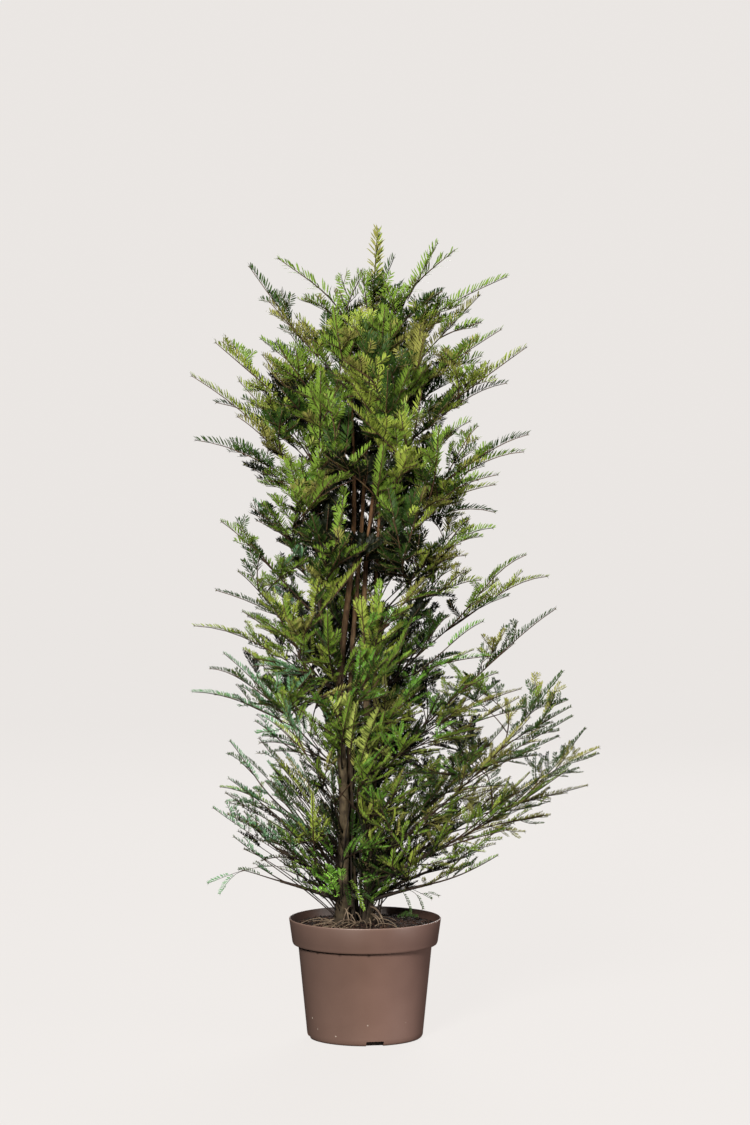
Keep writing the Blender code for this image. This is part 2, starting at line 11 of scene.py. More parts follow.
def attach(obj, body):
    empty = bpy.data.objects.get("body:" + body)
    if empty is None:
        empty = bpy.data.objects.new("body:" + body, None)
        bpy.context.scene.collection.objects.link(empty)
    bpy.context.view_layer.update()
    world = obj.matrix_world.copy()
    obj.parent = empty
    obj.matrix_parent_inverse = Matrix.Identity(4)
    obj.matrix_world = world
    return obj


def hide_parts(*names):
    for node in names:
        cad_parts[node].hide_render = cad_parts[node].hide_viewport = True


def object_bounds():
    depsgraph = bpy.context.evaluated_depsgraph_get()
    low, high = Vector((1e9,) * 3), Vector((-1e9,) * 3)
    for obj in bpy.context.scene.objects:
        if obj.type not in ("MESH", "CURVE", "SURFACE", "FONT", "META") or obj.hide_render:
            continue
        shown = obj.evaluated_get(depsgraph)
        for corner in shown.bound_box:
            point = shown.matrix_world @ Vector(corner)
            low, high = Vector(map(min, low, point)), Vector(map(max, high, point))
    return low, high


# A young yew in a nursery pot: its looks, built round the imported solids.
# Metres, +Z up, the pot's underside at the origin, +Y away from the viewer.

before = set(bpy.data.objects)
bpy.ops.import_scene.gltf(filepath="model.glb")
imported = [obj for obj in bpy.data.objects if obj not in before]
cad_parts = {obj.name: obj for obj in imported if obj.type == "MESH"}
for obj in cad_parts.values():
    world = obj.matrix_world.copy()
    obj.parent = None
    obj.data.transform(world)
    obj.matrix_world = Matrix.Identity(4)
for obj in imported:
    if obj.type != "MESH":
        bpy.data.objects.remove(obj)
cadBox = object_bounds()
cadLow, cadHigh = cadBox
gap = 0.0003                            # what the solids keep between each other
up = Vector((0, 0, 1))
toViewer = Vector((0, -1, 0))
rng = np.random.default_rng(7)


def headingOf(compass, rise):
    turn, lift = math.radians(compass), math.radians(rise)
    return Vector((math.cos(turn) * math.cos(lift), math.sin(turn) * math.cos(lift),
                   math.sin(lift)))


# meshes and objects

def addObject(name, data):
    thing = bpy.data.objects.new(name, data)
    bpy.context.scene.collection.objects.link(thing)
    return thing


def placePiece(name, mesh, material, slot, nodes=(), smooth=False):
    mesh.materials.clear()
    mesh.materials.append(material)
    if smooth:
        mesh.shade_smooth()
    piece = addObject(name, mesh)
    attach(piece, "root")
    if nodes:
        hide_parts(*nodes)


def meshOf(name, build):
    mesh = bpy.data.meshes.new(name)
    build.to_mesh(mesh)
    build.free()
    return mesh


def arrayMesh(name, points, *faceSets):
    mesh = bpy.data.meshes.new(name)
    corners = np.concatenate([faces.ravel() for faces in faceSets]).astype(np.int32)
    sizes = np.concatenate([np.full(len(faces), faces.shape[1]) for faces in faceSets])
    starts = np.concatenate([[0], np.cumsum(sizes)[:-1]]).astype(np.int32)
    mesh.vertices.add(len(points))
    mesh.vertices.foreach_set("co", points.astype(np.float32).ravel())
    mesh.loops.add(len(corners))
    mesh.loops.foreach_set("vertex_index", corners)
    mesh.polygons.add(len(sizes))
    mesh.polygons.foreach_set("loop_start", starts)
    mesh.update(calc_edges=True)
    return mesh


def finalMesh(thing):
    # the object's mesh as it comes out, without the object
    view = bpy.context.evaluated_depsgraph_get()
    mesh = bpy.data.meshes.new_from_object(thing.evaluated_get(view))
    bpy.data.objects.remove(thing)
    return mesh


def turned(profile, steps):
    build = bmesh.new()
    verts = [build.verts.new((radius, 0, height)) for radius, height in profile]
    edges = [build.edges.new(pair) for pair in zip(verts, verts[1:])]
    bmesh.ops.spin(build, geom=verts + edges, cent=(0, 0, 0), axis=(0, 0, 1),
                   angle=math.tau, steps=steps, use_merge=True)
    bmesh.ops.remove_doubles(build, verts=build.verts, dist=0.00001)
    bmesh.ops.recalc_face_normals(build, faces=build.faces)
    return build


def roundEdges(build, edges, width, segments):
    bmesh.ops.bevel(build, geom=edges, offset=width, segments=segments, profile=0.5,
                    affect="EDGES", material=-1)


# materials

def tone(red, green, blue):
    shares = [value / 255 for value in (red, green, blue)]
    return tuple(c / 12.92 if c <= 0.04045 else ((c + 0.055) / 1.055) ** 2.4 for c in shares)


class Paint:
    # a material while it is mixed: each step adds nodes and gives back their output

    def __init__(self, name, colour, roughness, specular=0.5):
        self.material = bpy.data.materials.new(name)
        self.material.use_nodes = True
        self.tree = self.material.node_tree
        self.shader = self.tree.nodes["Principled BSDF"]
        self.use("Base Color", (*colour, 1))
        self.use("Roughness", roughness)
        self.use("Specular IOR Level", specular)

    def use(self, name, value):
        self.plug(self.shader.inputs[name], value)

    def plug(self, socket, value):
        if isinstance(value, bpy.types.NodeSocket):
            self.tree.links.new(value, socket)
        else:
            socket.default_value = value

    def add(self, kind, output, *inputs, **values):
        node = self.tree.nodes.new("ShaderNode" + kind)
        for key, value in values.items():
            if key in node.inputs:
                self.plug(node.inputs[key], value)
            else:
                setattr(node, key, value)
        for socket, value in zip(node.inputs, inputs):
            self.plug(socket, value)
        return node.outputs[output]

    def coords(self, scale=(1, 1, 1), place=(0, 0, 0)):
        source = self.add("TexCoord", "Object")
        return self.add("Mapping", "Vector", source, Scale=scale, Location=place)

    def height(self, coords):
        return self.add("SeparateXYZ", "Z", coords)

    def reach(self, coords, weights):
        # how far out a point is, with a weight for each axis
        weighted = self.add("VectorMath", "Vector", coords, weights, operation="MULTIPLY")
        return self.add("VectorMath", "Value", weighted, operation="LENGTH")

    def calc(self, operation, *values):
        return self.add("Math", "Value", *values, operation=operation)

    def noise(self, coords, scale, detail=4.0, roughness=0.55):
        return self.add("TexNoise", "Fac", coords, Scale=scale, Detail=detail,
                        Roughness=roughness)

    def ramp(self, source, *stops):
        # each stop is a place and a colour, or a place and a grey
        node = self.tree.nodes.new("ShaderNodeValToRGB")
        elements = node.color_ramp.elements
        while len(elements) < len(stops):
            elements.new(0.5)
        for element, (position, colour) in zip(elements, stops):
            element.position = position
            element.color = (*colour, 1) if isinstance(colour, tuple) else (*(colour,) * 3, 1)
        self.plug(node.inputs["Fac"], source)
        return node.outputs["Color"]

    def mix(self, share, first, second, blend="MIX"):
        node = self.tree.nodes.new("ShaderNodeMix")
        node.data_type, node.blend_type = "RGBA", blend
        for place, value in ((0, share), (6, first), (7, second)):
            self.plug(node.inputs[place], (*value, 1) if isinstance(value, tuple) else value)
        return node.outputs[2]

    def times(self, first, second, share=1.0):
        return self.mix(share, first, second, "MULTIPLY")

    def bump(self, source, strength, distance):
        self.use("Normal", self.add("Bump", "Normal", Strength=strength, Distance=distance,
                                    Height=source))


# the pot

pot = {
    "height": 0.205, "rim": 0.130, "band": 0.044, "bandFoot": 0.1245, "chamfer": 0.004,
    "neck": 0.1145, "base": 0.0985, "rounding": 0.005, "wall": 0.0024, "floor": 0.003,
    "steps": 160, "edge": 0.0007, "lip": 0.001,
    "notches": 4, "firstNotch": 10, "notchWidth": 0.030, "notchHeight": 0.0085,
    "notchDepth": 0.012, "notchCorner": 0.0016, "notchRing": 0.003,
    "dots": (225.5, 248.2, 273.3), "dotHeight": 0.1570, "dotSize": (0.0013, 0.0019),
    "speckFade": (0.035, 0.075), "rimHighlightFrom": (0.2030, 0.2045), "bandPaintedShade": (0.158, 0.170),
    "taupe": tone(98, 75, 66), "grey": tone(96, 77, 70), "paintedLightPink": tone(121, 94, 87),
    "speck": tone(190, 178, 166), "paintedRimHighlight": tone(138, 113, 101), "stainAndShade": tone(62, 46, 40),
}
potNeck = pot["height"] - pot["band"]
potLip = potNeck + pot["chamfer"]
bandFlare = (pot["rim"] - pot["bandFoot"]) / (pot["height"] - potLip)


def potRadius(height):
    return pot["base"] + (pot["neck"] - pot["base"]) * height / potNeck


def makePotMaterial():
    paint = Paint("taupePlastic", pot["taupe"], 0.42)
    coords = paint.coords()
    height = paint.height(coords)
    broad = paint.noise(coords, 9, 3)
    # painted light: the pot greyer on the left, paler and pinker towards the right, where light
    # falls
    across = paint.calc("MULTIPLY_ADD", paint.add("SeparateXYZ", "X", coords), 3.6, 0.5)
    colour = paint.ramp(across, (0.0, pot["grey"]), (0.5, pot["taupe"]), (1.0, pot["paintedLightPink"]))
    colour = paint.times(colour, paint.ramp(broad, (0.3, 0.90), (0.7, (1.06, 1.05, 1.04))))
    # mineral specks on the lower front, left by watering
    cells = paint.add("TexVoronoi", "Distance", coords, Scale=62.0, Randomness=1.0)
    patch = paint.noise(paint.coords(place=(0.3, 0.1, 0.2)), 17, 1)
    specks = paint.times(paint.ramp(cells, (0.060, 1), (0.110, 0)),
                         paint.ramp(patch, (0.50, 0), (0.56, 1)))
    low, high = pot["speckFade"]
    specks = paint.times(specks, paint.ramp(height, (low, 1), (high, 0)))
    colour = paint.mix(specks, colour, pot["speck"])
    # painted shade: the band above the neck is darker
    low, high = pot["bandPaintedShade"]
    colour = paint.times(colour, paint.ramp(height, (low, 1), (high, 0.80)))
    # painted shade: small dark spots for the moulding holes under the band, which are not cut
    low, high = pot["dotSize"]
    for turn in pot["dots"]:
        place = headingOf(turn, 0) * potRadius(pot["dotHeight"]) + up * pot["dotHeight"]
        far = paint.add("VectorMath", "Value", coords, place, operation="DISTANCE")
        colour = paint.times(colour, paint.ramp(far, (low, 0.25), (high, 1)))
    # painted highlight: the lip's edge is paler; painted shade: the inside of the band is darker
    low, high = pot["rimHighlightFrom"]
    colour = paint.mix(paint.ramp(height, (low, 0), (high, 1)), colour, pot["paintedRimHighlight"])
    # painted shade on the band's inner wall above the soil
    lean = paint.calc("SUBTRACT", paint.reach(coords, (1, 1, 0)),
                      paint.calc("MULTIPLY", height, bandFlare))
    middle = pot["rim"] - bandFlare * pot["height"] - pot["wall"] * 0.55
    inner = paint.calc("MULTIPLY", paint.calc("LESS_THAN", lean, middle),
                       paint.calc("GREATER_THAN", height, potLip + pot["wall"]))
    paint.use("Base Color", paint.mix(inner, colour, pot["stainAndShade"]))
    paint.use("Roughness", paint.ramp(broad, (0.3, 0.36), (0.7, 0.50)))
    paint.bump(paint.noise(coords, 420, 2), 0.12, 0.0004)
    return paint.material


def makePot():
    base, rim, wall, corner = pot["base"], pot["rim"], pot["wall"], pot["rounding"]
    top, lip = pot["height"], pot["lip"]
    ring = pot["notchHeight"] + pot["notchRing"]    # keeps the notches' shading low
    outside = [(0, 0), (base - corner, 0), (base - corner * 0.55, corner * 0.10),
               (base - corner * 0.22, corner * 0.36), (potRadius(corner), corner),
               (potRadius(ring), ring), (pot["neck"], potNeck),
               (pot["bandFoot"] - pot["chamfer"] * 0.4, potNeck), (pot["bandFoot"], potLip),
               (rim, top - lip), (rim - lip, top)]
    inside = [(rim - wall, top), (pot["bandFoot"] - wall, potLip + wall),
              (pot["neck"] - wall, potNeck + wall), (potRadius(ring) - wall, ring),
              (potRadius(pot["floor"]) - wall, pot["floor"]), (0, pot["floor"])]
    build = turned(outside + inside, pot["steps"])
    roundEdges(build, [edge for edge in build.edges
                       if len(edge.link_faces) == 2 and edge.calc_face_angle(0) > 0.45],
               pot["edge"], 2)
    shell = addObject("shell", meshOf("shell", build))
    cutter = bmesh.new()
    for number in range(pot["notches"]):
        turn = Matrix.Rotation(math.radians(pot["firstNotch"] + 90 * number), 4, "Z")
        size = Matrix.Diagonal((pot["notchDepth"] * 2, pot["notchWidth"],
                                pot["notchHeight"] * 2, 1))
        bmesh.ops.create_cube(cutter, size=1.0,
                              matrix=turn @ Matrix.Translation((base, 0, 0)) @ size)
    roundEdges(cutter, cutter.edges[:], pot["notchCorner"], 3)
    knife = addObject("knife", meshOf("knife", cutter))
    cut = shell.modifiers.new("notches", "BOOLEAN")
    cut.operation, cut.solver, cut.object = "DIFFERENCE", "EXACT", knife
    mesh = finalMesh(shell)
    bpy.data.objects.remove(knife)
    placePiece("potShell", mesh, makePotMaterial(), "pot", ["pot"], smooth=True)
    mesh.set_sharp_from_angle(angle=math.radians(40))


makePot()
print("pot turned, notches cut")


# soil, bark chips and surface roots

soil = {
    "level": 0.191, "inset": 0.0003, "rings": 34, "steps": 96, "mound": 0.005,
    "roughness": 0.0026, "chips": 2300, "chipSize": (0.0025, 0.0085), "chipRim": 0.007,
    "chipTilt": 0.35, "chipRough": 0.28,
    "roots": 48, "rootLength": (0.020, 0.066), "rootRadius": (0.0006, 0.0017),
    "arches": 4, "feet": [(-0.040, -0.006), (-0.020, 0.008), (0.004, -0.004)],
    "archTurn": (170, 370), "archLift": (0.008, 0.034), "archReach": (0.014, 0.038),
    "archRadius": (0.0010, 0.0022),
    "dark": tone(16, 9, 6), "brown": tone(32, 19, 12), "chip": tone(54, 33, 22),
    "pale": tone(72, 57, 45), "root": tone(112, 97, 80),
}
soilEdge = (pot["bandFoot"] + (pot["rim"] - pot["bandFoot"]) * (
    (soil["level"] - potLip) / (pot["height"] - potLip)) - pot["wall"] - soil["inset"])


def soilHeight(x, y):
    span = math.hypot(x + 0.015, y) / soilEdge
    bumps = noise.noise(Vector((x, y, 0)) * 75) + 0.5 * noise.noise(Vector((x, y, 3)) * 190)
    return soil["level"] + soil["mound"] * math.exp(-(span / 0.35) ** 2) + soil["roughness"] * bumps


def makeSoilMaterials():
    dark, brown, chip, pale = (soil[name] for name in ("dark", "brown", "chip", "pale"))
    bed = Paint("pottingSoil", dark, 0.95, 0.2)
    crumbs = bed.noise(bed.coords(), 210, 6, 0.7)
    bed.use("Base Color", bed.ramp(crumbs, (0.30, dark), (0.58, brown), (0.75, chip)))
    bed.bump(crumbs, 0.9, 0.002)
    chips = Paint("barkChips", chip, 0.88, 0.25)
    cells = chips.add("TexVoronoi", "Color", chips.coords(), Scale=150.0)
    colour = chips.ramp(cells, (0.15, dark), (0.5, brown), (0.8, chip), (0.97, pale))
    fibre = chips.noise(chips.coords((1, 1, 0.3)), 520, 4)
    chips.use("Base Color", chips.times(colour, chips.ramp(fibre, (0.3, 0.5), (0.7, 1.3)), 0.5))
    chips.bump(fibre, 0.5, 0.0008)
    roots = Paint("fineRoots", soil["root"], 0.8, 0.3)
    stainAndShade = roots.noise(roots.coords(), 90, 4)
    roots.use("Base Color", roots.ramp(stainAndShade, (0.35, pale), (0.62, soil["root"])))
    return bed.material, chips.material, roots.material


def makeSoilBed(material):
    level = soil["level"]
    inset = pot["wall"] + soil["inset"]
    profile = [(0, pot["floor"] + gap), (potRadius(pot["floor"]) - inset - gap, pot["floor"] + gap),
               (pot["neck"] - inset, potNeck + pot["wall"] + gap),
               (pot["bandFoot"] - inset - gap, potLip + pot["wall"] + gap), (soilEdge - gap, level)]
    profile += [(soilEdge * (1 - ring / soil["rings"]), level)
                for ring in range(1, soil["rings"] + 1)]
    build = turned(profile, soil["steps"])
    for vert in build.verts:
        if vert.co.z > level - 0.0001 and vert.co.xy.length < soilEdge * 0.985:
            vert.co.z = soilHeight(vert.co.x, vert.co.y)
    placePiece("soilBed", meshOf("soilBed", build), material, "soil", ["soil"], smooth=True)


def makeChips(material):
    draw = Random("chips")
    block = np.array([(x, y, z) for x in (-1, 1) for y in (-1, 1) for z in (-1, 1)]) * 0.5
    walls = np.array([(0, 1, 3, 2), (4, 6, 7, 5), (0, 4, 5, 1), (2, 3, 7, 6), (0, 2, 6, 4),
                      (1, 5, 7, 3)])
    reach, tip, rough = soilEdge - soil["chipRim"], soil["chipTilt"], soil["chipRough"]
    spots = [(draw.uniform(0, math.tau), reach * math.sqrt(draw.random()))
             for _ in range(soil["chips"])]
    points, faces = [], []
    for turn, span in spots:
        x, y = span * math.cos(turn), span * math.sin(turn)
        length = draw.uniform(*soil["chipSize"])
        size = np.array((length, length * draw.uniform(0.3, 0.7),
                         length * draw.uniform(0.12, 0.35)))
        shape = block * size * (1 + rng.uniform(-rough, rough, block.shape))
        tilt = (Matrix.Rotation(draw.uniform(0, math.tau), 3, "Z")
                @ Matrix.Rotation(draw.gauss(0, tip), 3, "X")
                @ Matrix.Rotation(draw.gauss(0, tip), 3, "Y"))
        faces.append(walls + 8 * len(points))
        points.append(shape @ np.array(tilt).T
                      + (x, y, soilHeight(x, y) + draw.uniform(-0.0004, 0.0016)))
    placePiece("barkChips", arrayMesh("barkChips", np.concatenate(points), np.concatenate(faces)),
               material, "soil")


# shoots: every twig, root and branchlet is a cubic curve with a face that looks up

Shoot = namedtuple("Shoot", "start bendA bendB end face radius tip")


def curveAt(t, a, b, c, d):
    s = 1 - t
    return (a * s ** 3 + b * 3 * s * s * t + c * 3 * s * t * t + d * t ** 3,
            (b - a) * s * s + (c - b) * 2 * s * t + (d - c) * t * t)


def pointOn(shoot, t):
    return curveAt(t, *shoot[:4])[0]


def headingOn(shoot, t):
    return curveAt(t, *shoot[:4])[1].normalized()


def ringAxes(heading):
    hint = up if abs(heading.z) < 0.99 else toViewer
    first = (hint - heading * hint.dot(heading)).normalized()
    return first, heading.cross(first)


def faceTowards(heading, share):
    # across the heading, and turned a little to the viewer
    return (ringAxes(heading)[0] + toViewer * share).normalized()


def curvesOf(shoots):
    return [np.array([shoot[place][:] for shoot in shoots]) for place in range(4)]


def tubes(shoots, rings, sides):
    ends = [end[:, None, :] for end in curvesOf(shoots)]
    t = np.linspace(0, 1, rings)[None, :, None]
    centres, headings = curveAt(t, *ends)
    headings /= np.linalg.norm(headings, axis=2, keepdims=True)
    face = np.array([shoot.face[:] for shoot in shoots])[:, None, :]
    first = face - headings * (face * headings).sum(2, keepdims=True)
    first /= np.linalg.norm(first, axis=2, keepdims=True)
    second = np.cross(headings, first)
    radii = np.array([shoot.radius for shoot in shoots])[:, None, None]
    tips = np.array([shoot.tip for shoot in shoots])[:, None, None]
    radii = radii + (tips - radii) * t
    turns = (np.arange(sides) * math.tau / sides)[None, None, :, None]
    across = first[:, :, None, :] * np.cos(turns) + second[:, :, None, :] * np.sin(turns)
    points = (centres[:, :, None, :] + across * radii[:, :, None, :]).reshape(-1, 3)
    side = np.arange(sides)
    nextSide = (side + 1) % sides
    ring = (np.arange(rings - 1) * sides)[:, None]
    quads = np.stack([ring + side, ring + nextSide, ring + sides + nextSide,
                      ring + sides + side], axis=2).reshape(-1, 4)
    starts = (np.arange(len(shoots)) * rings * sides)[:, None, None]
    caps = np.stack([side[::-1], (rings - 1) * sides + side])
    return points, (quads[None] + starts).reshape(-1, 4), (caps[None] + starts).reshape(-1, sides)


def shootTo(start, heading, end, upturn, radius, tip=0.0005, face=None):
    length = (end - start).length
    bendA = start + heading * length * 0.38
    late = (end - bendA).normalized()
    late = (late + up * upturn).normalized()
    bendB = end - late * length * 0.34
    if face is None:
        face = ringAxes((end - start).normalized())[0]
    return Shoot(start, bendA, bendB, end, face, radius, tip)


def makeRoots(material):
    draw = Random("roots")
    roots = []
    for _ in range(soil["roots"]):
        turn = draw.uniform(0, math.tau)
        span = abs(draw.gauss(0.0, 0.018)) + 0.010
        x, y = -0.020 + span * math.cos(turn) * 1.5, span * math.sin(turn)
        length = draw.uniform(*soil["rootLength"])
        drift = turn + draw.gauss(0, 0.9)
        endX, endY = x + length * math.cos(drift), y + length * math.sin(drift)
        if max(math.hypot(x, y), math.hypot(endX, endY)) > soilEdge - 0.008:
            continue
        start = Vector((x, y, soilHeight(x, y) - 0.0010))
        end = Vector((endX, endY, soilHeight(endX, endY) - 0.0010))
        aim = Vector((math.cos(drift + 0.6), math.sin(drift + 0.6), draw.uniform(0.2, 1.5)))
        roots.append(shootTo(start, aim.normalized(), end, -0.5 * draw.random(),
                             draw.uniform(*soil["rootRadius"])))
    # thicker roots that arch from the feet down into the soil
    for x, y in soil["feet"]:
        for _ in range(soil["arches"]):
            turn = math.radians(draw.uniform(*soil["archTurn"]))
            out = Vector((math.cos(turn), math.sin(turn), 0))
            start = Vector((x, y, soil["level"] + draw.uniform(*soil["archLift"]))) + out * 0.006
            end = start + out * draw.uniform(*soil["archReach"])
            end.z = soilHeight(end.x, end.y) - 0.002
            aim = (out + up * draw.uniform(0.0, 0.8)).normalized()
            roots.append(shootTo(start, aim, end, -draw.uniform(0.6, 1.6),
                                 draw.uniform(*soil["archRadius"]), 0.0007))
    placePiece("fineRoots", arrayMesh("fineRoots", *tubes(roots, 11, 5)), material, "soil",
               smooth=True)


for lay, material in zip((makeSoilBed, makeChips, makeRoots), makeSoilMaterials()):
    lay(material)
print("soil, chips and roots laid")


# stems and boughs, from the same sizes as the solids

stemFoot = soil["level"] + gap
stems = {
    "stem_left": {
        "route": [(-0.040, -0.005, stemFoot), (-0.036, -0.006, 0.40), (-0.043, -0.006, 0.60),
                  (-0.019, -0.008, 0.88), (-0.026, -0.010, 1.185)],
        "foot": 0.0115, "top": 0.0017, "flare": 0.0050,
    },
    "stem_middle": {
        "route": [(-0.020, 0.017, stemFoot), (-0.024, 0.014, 0.36), (-0.025, 0.012, 0.60),
                  (-0.004, 0.007, 0.90), (0.013, 0.002, 1.235)],
        "foot": 0.0080, "top": 0.0017, "flare": 0.0030,
    },
    "stem_right": {
        "route": [(0.003, -0.006, stemFoot), (0.007, -0.004, 0.45), (-0.002, -0.004, 0.72),
                  (0.013, -0.006, 0.92), (0.058, -0.012, 1.225)],
        "foot": 0.0075, "top": 0.0017, "flare": 0.0035,
    },
    "stem_back": {
        "route": [(0.008, 0.019, stemFoot), (0.016, 0.020, 0.50), (0.019, 0.018, 0.79),
                  (0.034, 0.024, 1.04)],
        "foot": 0.0060, "top": 0.0017, "flare": 0.0025,
    },
}
stemShape = {"flareHeight": 0.016, "taper": 1.1, "rings": 150, "sink": 0.006}
leftLimb = {
    "stem": "stem_left", "height": 0.655, "compass": 180, "rise": 58, "radius": 0.0045,
    "bend": 0.035, "middle": (-0.033, 0.004, 0.13), "end": (-0.030, 0.008, 0.28), "tip": 0.5,
    "rings": 50,
}
# each bough's stem, height, compass, rise, length and radius
boughs = {
    "bough_right_low_front": ("stem_right", 0.236, -21, 20, 0.115, 0.0036),
    "bough_right_low_back": ("stem_back", 0.240, 22, 22, 0.115, 0.0034),
    "bough_right_mid_front": ("stem_right", 0.258, -20, 33, 0.150, 0.0040),
    "bough_right_mid_back": ("stem_back", 0.262, 20, 33, 0.150, 0.0038),
    "bough_right_high_front": ("stem_right", 0.292, -23, 44, 0.150, 0.0040),
    "bough_right_high_back": ("stem_back", 0.296, 22, 45, 0.150, 0.0036),
    "bough_left_low": ("stem_left", 0.238, 184, 21, 0.100, 0.0036),
    "bough_left_mid": ("stem_left", 0.262, 171, 33, 0.115, 0.0045),
    "bough_left_high": ("stem_left", 0.318, 188, 42, 0.110, 0.0034),
}
boughShape = {"tip": 0.62, "arch": 0.05, "rings": 26, "sink": 0.003}
bark = {
    "sides": 6, "relief": 0.085, "knots": 0.16, "knotsFrom": 0.35,
    "grain": (420, 52, 0), "scales": (150, 95, 9), "knotSize": (60, 70, 0),
    "old": tone(82, 70, 52), "dark": tone(40, 32, 23), "grey": tone(108, 96, 74),
    "young": tone(112, 82, 54), "green": tone(96, 98, 48), "rust": tone(84, 58, 38),
    "twig": tone(82, 66, 36),
}

Limb = namedtuple("Limb", "points headings radii")


def splineThrough(route, count):
    knots = [Vector(point) for point in route]
    knots = [knots[0] * 2 - knots[1]] + knots + [knots[-1] * 2 - knots[-2]]
    spans = len(knots) - 3
    points, headings = [], []
    for step in range(count):
        place = spans * step / (count - 1)
        span = min(int(place), spans - 1)
        t = place - span
        a, b, c, d = knots[span:span + 4]
        points.append(0.5 * ((2 * b) + (c - a) * t + (2 * a - 5 * b + 4 * c - d) * t ** 2
                             + (3 * b - a - 3 * c + d) * t ** 3))
        headings.append((0.5 * ((c - a) + (2 * a - 5 * b + 4 * c - d) * 2 * t
                                + (3 * b - a - 3 * c + d) * 3 * t ** 2)).normalized())
    return points, headings


def arcTo(start, heading, end, count):
    bend = start + heading * (end - start).length * 0.5
    points, headings = [], []
    for step in range(count):
        t = step / (count - 1)
        points.append(start * (1 - t) ** 2 + bend * 2 * t * (1 - t) + end * t ** 2)
        headings.append(((bend - start) * (1 - t) + (end - bend) * t).normalized())
    return points, headings


def growStem(size):
    rings = stemShape["rings"]
    points, headings = splineThrough(size["route"], rings)
    radii = []
    for ring, point in enumerate(points):
        taper = (1 - ring / (rings - 1)) ** stemShape["taper"]
        flare = math.exp(-(point.z - stemFoot) / stemShape["flareHeight"])
        radii.append(size["top"] + (size["foot"] - size["top"]) * taper + size["flare"] * flare)
    return Limb(points, headings, radii)


def limbAt(limb, height):
    for ring in range(len(limb.points) - 1):
        low, high = limb.points[ring], limb.points[ring + 1]
        if low.z <= height <= high.z:
            share = (height - low.z) / (high.z - low.z)
            return low.lerp(high, share), limb.radii[ring]
    return None


def seatOn(limb, height, heading, radius):
    level = Vector((heading.x, heading.y, 0)).normalized()
    centre, thickness = limbAt(limb, height)
    return Vector((centre.x, centre.y, height)) + level * (thickness + radius * heading.z)


def taperOf(radius, tip, rings):
    return [radius * (1 + (tip - 1) * ring / (rings - 1)) for ring in range(rings)]


def growBough(size):
    stem, height, compass, rise, length, radius = size
    heading = headingOf(compass, rise)
    start = seatOn(stand[stem], height, heading, radius)
    end = start + heading * length - up * length * boughShape["arch"]
    rings = boughShape["rings"]
    return Limb(*arcTo(start, heading, end, rings), taperOf(radius, boughShape["tip"], rings))


def growLeftLimb(size):
    heading = headingOf(size["compass"], size["rise"])
    start = seatOn(stand[size["stem"]], size["height"], heading, size["radius"])
    route = [start, start + heading * size["bend"], start + Vector(size["middle"]),
             start + Vector(size["end"])]
    return Limb(*splineThrough(route, size["rings"]),
                taperOf(size["radius"], size["tip"], size["rings"]))


def grainAt(point, across, along, shift):
    return noise.noise(Vector((point.x * across, point.y * across, point.z * along)) + up * shift)


def barkedMesh(name, limb, sink):
    # a round curve with the limb's taper, its foot sunk in what carries it
    curve = bpy.data.curves.new(name, "CURVE")
    curve.dimensions = "3D"
    curve.bevel_depth = 1.0
    curve.bevel_resolution = bark["sides"]
    curve.use_fill_caps = True
    line = curve.splines.new("POLY")
    points = [limb.points[0] - limb.headings[0] * sink] + limb.points
    radii = [limb.radii[0]] + limb.radii
    line.points.add(len(points) - 1)
    for knot, point, radius in zip(line.points, points, radii):
        knot.co = (*point, 1)
        knot.radius = radius
    build = bmesh.new()
    build.from_mesh(finalMesh(addObject(name, curve)))
    bmesh.ops.remove_doubles(build, verts=build.verts, dist=0.00001)
    build.normal_update()
    heights = np.array([point.z for point in limb.points])
    for vert in build.verts:
        radius = limb.radii[int(np.argmin(np.abs(heights - vert.co.z)))]
        grain = grainAt(vert.co, *bark["grain"]) + grainAt(vert.co, *bark["scales"])
        knots = max(0.0, grainAt(vert.co, *bark["knotSize"]) - bark["knotsFrom"])
        vert.co += vert.normal * radius * (bark["relief"] * grain + bark["knots"] * knots)
    return meshOf(name, build)


def makeBarkMaterials():
    old = Paint("stemBark", bark["old"], 0.86, 0.3)
    coords = old.coords()
    height = old.height(coords)
    spots = old.noise(coords, 42, 4)
    lower = old.ramp(spots, (0.32, bark["dark"]), (0.52, bark["old"]), (0.72, bark["grey"]))
    upper = old.ramp(spots, (0.32, bark["rust"]), (0.60, bark["young"]))
    colour = old.mix(old.ramp(height, (0.52, 0), (0.86, 1)), lower, upper)
    grain = old.noise(old.coords((1, 1, 0.16)), 300, 6, 0.65)
    cracks = old.ramp(grain, (0.36, (0.42, 0.40, 0.38)), (0.56, (1.08, 1.06, 1.04)))
    # painted shade: the stems darker towards their foot
    shade = old.ramp(height, (0.20, (0.38, 0.36, 0.33)), (0.34, (0.86, 0.86, 0.84)))
    old.use("Base Color", old.times(old.times(colour, cracks, 0.8), shade))
    old.bump(grain, 0.7, 0.0009)
    young = Paint("youngBark", bark["young"], 0.72, 0.35)
    coords = young.coords()
    colour = young.ramp(young.noise(coords, 60, 4), (0.34, bark["dark"]), (0.50, bark["rust"]),
                        (0.66, bark["twig"]))
    # painted shade: darker towards the foot, and darkest near the crown's axis, in its heart
    paintedFootShade = young.ramp(young.height(coords), (0.30, (0.40, 0.38, 0.36)), (1.10, (0.85, 0.84, 0.82)))
    depth = young.ramp(young.reach(coords, (1, 1.8, 0)), (0.05, (0.30, 0.28, 0.25)), (0.20, 1))
    young.use("Base Color", young.times(young.times(colour, paintedFootShade), depth))
    young.bump(young.noise(coords, 420, 5), 0.5, 0.0006)
    green = Paint("greenTwigs", bark["green"], 0.6, 0.4)
    spots = green.noise(green.coords(), 75, 3)
    green.use("Base Color", green.ramp(spots, (0.36, bark["rust"]), (0.56, bark["green"])))
    return old.material, young.material, green.material


